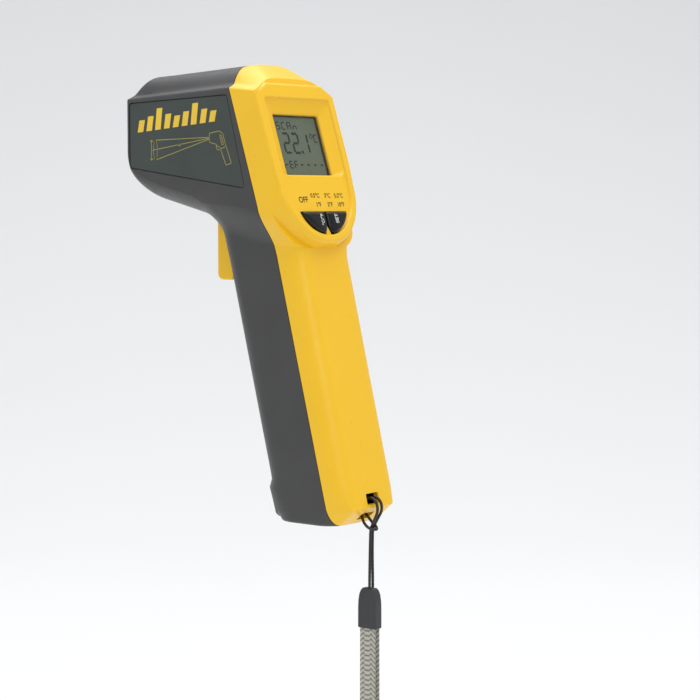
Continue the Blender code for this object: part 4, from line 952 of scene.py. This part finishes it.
def add_keys():
    """Two glossy domed keys with a small white legend each."""
    for side, word in SIDES:
        outline = np.array(rounded_key(side))
        centre = outline.mean(0)
        rings = []
        for height, share in ((-4.0, 1.0), (0.15, 1.0), (0.45, 0.985), (0.75, 0.94), (1.0, 0.85), (1.2, 0.70),
                              (1.32, 0.5), (1.38, 0.25), (1.39, 0.08)):
            rings.append([(*(centre + (p - centre) * share), (height - 0.75) * MM) for p in outline])
        key = loft(f"key_{word}", rings, FACE)
        body = f"button_{word}"
        add_piece(key, f"key_{word}", body, BLACK, [body], 60.0)
    for word, words, size, place in (("left", "°C/°F", 1.3, (-3.2, -11.6)), ("right", "SET", 1.55, (4.6, -11.2))):
        add_text(f"key_mark_{word}", words, size, place, 0.655, f"button_{word}", WHITE_INK, 90.0, 1.0)


def rounded_key(side):
    """The key's outline with its three corners rounded."""
    outline = key_outline(side)
    trimmed, reach, sharp = [], 1.2 * MM, 0.5
    for k, point in enumerate(outline):
        here, before, after = Vector(point), Vector(outline[k - 1]), Vector(outline[(k + 1) % len(outline)])
        if (here - before).angle(after - here) > sharp:
            a = here + (before - here).normalized() * reach
            c = here + (after - here).normalized() * reach
            trimmed += [tuple((1 - t) ** 2 * a + 2 * t * (1 - t) * here + t * t * c)
                        for t in (0, 0.25, 0.5, 0.75, 1)]
        else:
            trimmed.append(point)
    return trimmed


def add_text(name, words, size, place, lift, body, material, turn, wide):
    """Raised lettering on the display face: size is the capital height in millimetres."""
    curve = bpy.data.curves.new(name, "FONT")
    curve.body = words
    curve.align_x, curve.align_y = "CENTER", "CENTER"
    curve.size = size * MM / 0.70
    curve.extrude = 0.03 * MM
    curve.offset = 0.035 * MM
    text = bpy.data.objects.new(name + "_text", curve)
    bpy.context.scene.collection.objects.link(text)
    bpy.context.view_layer.update()
    mesh = bpy.data.meshes.new_from_object(text.evaluated_get(bpy.context.evaluated_depsgraph_get()))
    bpy.data.objects.remove(text)
    obj = bpy.data.objects.new(name, mesh)
    bpy.context.scene.collection.objects.link(obj)
    spin = Matrix.Rotation(math.radians(turn), 4, "Z") @ Matrix.Diagonal((wide, 1.0, 1.0, 1.0))
    spot = Matrix.Translation((place[0] * MM, place[1] * MM, lift * MM))
    obj.data.transform(FACE @ spot @ spin)
    add_piece(obj, name, body, material, weighted=False)


def add_legends():
    """The names of the alarm's steps, printed on the sunk panel over the keys."""
    rows = [("off", "OFF", 2.05, -9.1, -4.2), (1, "0.5°C", 1.5, -2.5, -2.7), (2, "3°C", 1.5, 4.1, -2.7),
            (3, "5.5°C", 1.5, 10.3, -2.7), (4, "1°F", 1.5, -1.6, -5.9), (5, "5°F", 1.5, 4.6, -5.9),
            (6, "10°F", 1.5, 10.5, -5.9)]
    for tag, words, size, x, v in rows:
        add_text(f"legend_{tag}", words, size, (x, v), -PANEL_SINK / MM + 0.01, "housing", DARK_INK,
                 0.0, 0.95)


SEGMENTS = {"1": "bc", "2": "abged", "C": "afed", "F": "afeg", "A": "abcefg", "S": "afgcd", "r": "eg",
            "n": "ceg", "E": "afged", "-": "g"}


def segment_bars(character, left, top, wide, high, thick):
    """The bars of one seven-segment character, as outlines in millimetres on the face."""
    middle, low, right = top - high / 2, top - high, left + wide
    ends = {"a": (left, top, right, top), "g": (left, middle, right, middle), "d": (left, low, right, low),
            "f": (left, top, left, middle), "e": (left, middle, left, low), "b": (right, top, right, middle),
            "c": (right, middle, right, low)}
    bars = []
    for letter in SEGMENTS[character]:
        start, end = Vector(ends[letter][:2]), Vector(ends[letter][2:])
        run = (end - start).normalized()
        side = Vector((-run.y, run.x)) * thick / 2
        start, end = start + run * thick * 0.35, end - run * thick * 0.35
        nose = run * thick * 0.1
        bars.append([start - nose, start + side, end + side, end + nose, end - side, start - side])
    return bars


def add_digits():
    """The reading on the display, and the dark frame around it, just under the window."""
    bars = []
    for k, character in enumerate("SCAn"):
        bars += segment_bars(character, -10.0 + 2.9 * k, 24.6, 1.7, 2.5, 0.42)
    for character, left in (("2", -8.1), ("2", -3.3), ("1", 1.6)):
        bars += segment_bars(character, left, 20.6, 3.1, 6.9, 0.85)
    bars.append([Vector(p) for p in ((0.3, 13.5), (1.3, 13.5), (1.3, 14.5), (0.3, 14.5))])
    degree = Vector((7.2, 19.9))
    ring = [Vector((0.62 * math.cos(a), 0.62 * math.sin(a))) for a in np.linspace(0, 2 * math.pi, 13)[:-1]]
    bars += [[degree + a, degree + b, degree + b * 1.5, degree + a * 1.5] for a, b in zip(ring, ring[1:] + ring[:1])]
    bars += segment_bars("C", 8.6, 20.4, 1.6, 2.6, 0.45)
    for k, character in enumerate("rEF"):
        bars += segment_bars(character, -10.3 + 2.6 * k, 10.6, 1.6, 2.4, 0.42)
    for left in (-2.2, 1.4, 5.0, 8.6):
        bars += segment_bars("-", left, 10.6, 1.6, 2.4, 0.55)
    digits = plates("display_digits", bars, -3.88, -3.84, FACE)
    add_piece(digits, "display_digits", "housing", SEGMENT, weighted=False)
    wide, high, mid = WINDOW_HALF[0] / MM, WINDOW_HALF[1] / MM, WINDOW_V / MM
    # a flat dark frame laid round the reading, just under the window
    bm = bmesh.new()
    rows = []
    for side, low, top, height in ((1.4, 1.4, 1.4, -3.86), (1.4, 1.4, 1.4, -3.78), (-0.9, -0.35, -0.5, -3.78),
                                   (-0.9, -0.35, -0.5, -3.86)):
        a, b, c = wide + side, mid - high - low, mid + high + top
        rows.append([bm.verts.new(p) for p in mm((-a, b, height), (a, b, height), (a, c, height), (-a, c, height))])
    bridge(bm, rows + rows[:1])
    bmesh.ops.transform(bm, verts=bm.verts, matrix=FACE)
    dark_frame = mesh_object("display_dark_frame", bm)
    add_piece(dark_frame, "display_dark_frame", "housing", SOFT_BLACK, weighted=False)


# ---------------------------------------------------------------- side labels

def ink_strokes(lines, width):
    """Thin raised strokes along polylines in the label's plane, as prism outlines in millimetres."""
    outlines = []
    for line in lines:
        for a, b in zip(line, line[1:]):
            start, end = Vector(a), Vector(b)
            run = (end - start).normalized()
            side = Vector((-run.y, run.x)) * width / 2
            start, end = start - run * width * 0.3, end + run * width * 0.3
            outlines.append([start - side, end - side, end + side, start + side])
    return outlines


def add_labels():
    """Label films with a generic mark of stepped bars and a drawing of the measuring cone."""
    bars = []
    count, start, pitch = 9, 5.6, 4.25
    wide, lean = 2.7, 0.9
    for k in range(count):
        run = pitch * k
        left, right = start + run, start + run + wide
        low, top = -12.0 + 0.085 * run, -4.4 + 0.075 * run - 3.4 * abs(math.cos(k * math.pi / 4))
        bars.append([(left, low), (right, low + 0.2), (right + lean, top + 0.2), (left + lean, top)])
    angles = np.linspace(0, 2 * math.pi, 33)
    disc = [(14.2 + 0.95 * math.cos(a), -18.3 + 3.5 * math.sin(a)) for a in angles]
    pistol = [(39.8, -12.9), (44.4, -12.2), (46.0, -13.1), (47.2, -16.6), (49.9, -23.2), (47.5, -23.9), (44.7, -17.8),
              (43.6, -17.4), (42.9, -16.7), (39.9, -16.0), (39.8, -12.9)]
    lines = [disc, pistol, [(14.2, -14.8), (39.8, -14.3)], [(14.2, -21.8), (39.8, -14.9)],
             [(12.9, -18.3), (39.8, -14.6)], [(12.3, -14.6), (12.3, -22.0)],
             [(11.7, -15.3), (12.3, -14.6), (12.9, -15.3)], [(11.7, -21.3), (12.3, -22.0), (12.9, -21.3)],
             [(42.9, -16.7), (43.4, -18.6), (44.4, -18.6)], [(45.0, -18.4), (47.0, -17.6)],
             [(44.6, -13.4), (45.4, -13.8), (46.4, -16.8), (45.6, -17.0), (44.6, -13.4)]]
    dot = [(25.8 + 0.45 * math.cos(a), -16.7 + 0.45 * math.sin(a)) for a in angles[:-1]]
    for side, word in SIDES:
        film = prism("film", label_outline(), *sorted((side * 20.0 * MM, side * 20.35 * MM)))
        add_piece(film, f"film_{word}", "housing", LABEL, [f"label_{word}"])
        for name, outlines, ink in (("mark", bars, MARK_INK), ("drawing", ink_strokes(lines, 0.26) + [dot], LINE_INK)):
            printed = plates(f"{name}_{word}", outlines, side * 20.34, side * 20.37, UPRIGHT)
            add_piece(printed, f"{name}_{word}", "housing", ink, weighted=False)


# ---------------------------------------------------------------- trigger and the pieces kept from the CAD

def add_trigger():
    outline = mm((30.5, -38.6), (30.5, -63.8), (37.6, -63.8), (38.5, -60.5), (33.0, -43), (33.0, -38.6))
    radii = [r * MM for r in (0.6, 2.2, 1.2, 1.0, 1.0, 0.6)]
    plate = bevel(prism("plate", rounded(outline, radii, 6), -6.2 * MM, 6.2 * MM), 0.9 * MM, 4)
    outline = mm((32.4, -38.4), (34.2, -33.6), (39.8, -33.6), (41.2, -38.5), (46.6, -48), (46.6, -52), (41, -54.5),
                 (34.5, -54.5))
    join(plate, prism("arm", rounded(outline, 1.0 * MM, 4), -2.7 * MM, 2.7 * MM))
    cut(plate, cylinder("pivot_hole", TRIGGER_PIVOT, 1.5 * MM, 10 * MM))
    add_piece(plate, "trigger_plate", "trigger", YELLOW, ["trigger"])


KEPT = ((CLEAR, "lcd_window pointer_window"), (DISPLAY, "lcd_panel"), (PALE, "lcd_frame switch_plunger"),
        (RUBBER, "contact_strip"), (CIRCUIT, "main_board sensor_board"), (LENS, "infrared_lens"),
        (RED, "battery_lead_red"),
        (ALUMINIUM, "lens_ring"), (BRASS, "pointer_module"), (JACKET, "battery"),
        (STEEL, "board_screw_1 board_screw_2 door_pin trigger_pin trigger_spring thermopile_sensor "
                "housing_screw_1 housing_screw_2 housing_screw_3 housing_screw_4"),
        (SOFT_BLACK, "buzzer tact_switch_left tact_switch_right lens_barrel trigger_switch battery_snap "
                     "battery_lead_black"))


def dress_kept_nodes():
    """The CAD nodes that stay in view get their material, welded and smoothed up to their sharp edges."""
    for material, names in KEPT:
        for name in names.split():
            node = frame["nodes"][name]
            node.data.materials.clear()
            node.data.materials.append(material)
            node.data.shade_smooth()
            node.modifiers.new("weld", "WELD").merge_threshold = 0.01 * MM
            node.modifiers.new("sharp_edges", "EDGE_SPLIT").split_angle = math.radians(35)


add_keys()
add_legends()
add_digits()
add_labels()
add_trigger()
dress_kept_nodes()


# ---------------------------------------------------------------- floor, light

def add_floor():
    """Pale floor that sweeps up behind the object into a wall."""
    low = CAD_BOX[0][2] - 2 * MM
    radius, behind, before, side = 1.6, 2.6, 3.0, 5.0
    profile = [(-before, low), (behind - radius, low)]
    profile += [(behind - radius + radius * math.sin(a), low + radius - radius * math.cos(a))
                for a in np.linspace(0, math.pi / 2, 25)[1:]]
    profile.append((behind, low + 5.0))
    bm = bmesh.new()
    bridge(bm, [[bm.verts.new((s, d, z)) for s in (-side, side)] for d, z in profile], False)
    bmesh.ops.transform(bm, verts=bm.verts, matrix=Matrix.Rotation(math.radians(VIEW_AZIMUTH), 4, "Z"))
    floor = mesh_object("floor", bm)
    floor.data.shade_smooth()
    material, shader = new_material("floor_paint", FLOOR_COLOUR, 0.9, Specular_IOR_Level=0.2)
    factor = vary(material, noise(material, 3.0), 0.0, 1.0)
    tone = blend_colours(material, factor, [c * 0.99 for c in FLOOR_COLOUR], FLOOR_COLOUR)
    material.node_tree.links.new(tone, shader.inputs["Base Color"])
    floor.data.materials.append(material)


def add_light(name, place, size, energy):
    """A square soft lamp that faces the object's middle."""
    lamp = bpy.data.lights.new(name, "AREA")
    lamp.shape = "SQUARE"
    lamp.size = size
    lamp.energy = energy
    obj = bpy.data.objects.new(name, lamp)
    obj.location = place
    obj.rotation_euler = (LIT_POINT - Vector(place)).to_track_quat("-Z", "Y").to_euler()
    bpy.context.scene.collection.objects.link(obj)


FLOOR_COLOUR = (0.78, 0.78, 0.775)
LIT_POINT = Vector((0.0, 0.0, 0.02))
add_floor()
add_light("overhead", (-0.1, 0.25, 1.6), 2.2, 34.0)
add_light("front_left", (-1.0, -1.3, 0.9), 1.2, 3.5)
add_light("front_right", (1.5, -0.6, 0.9), 1.0, 4.5)
world_light = bpy.data.worlds.new("world")
world_light.use_nodes = True
sky = world_light.node_tree.nodes["Background"].inputs
sky["Color"].default_value = (0.93, 0.96, 1.0, 1.0)
sky["Strength"].default_value = 0.62
bpy.context.scene.world = world_light
bpy.context.scene.view_settings.view_transform = "Standard"
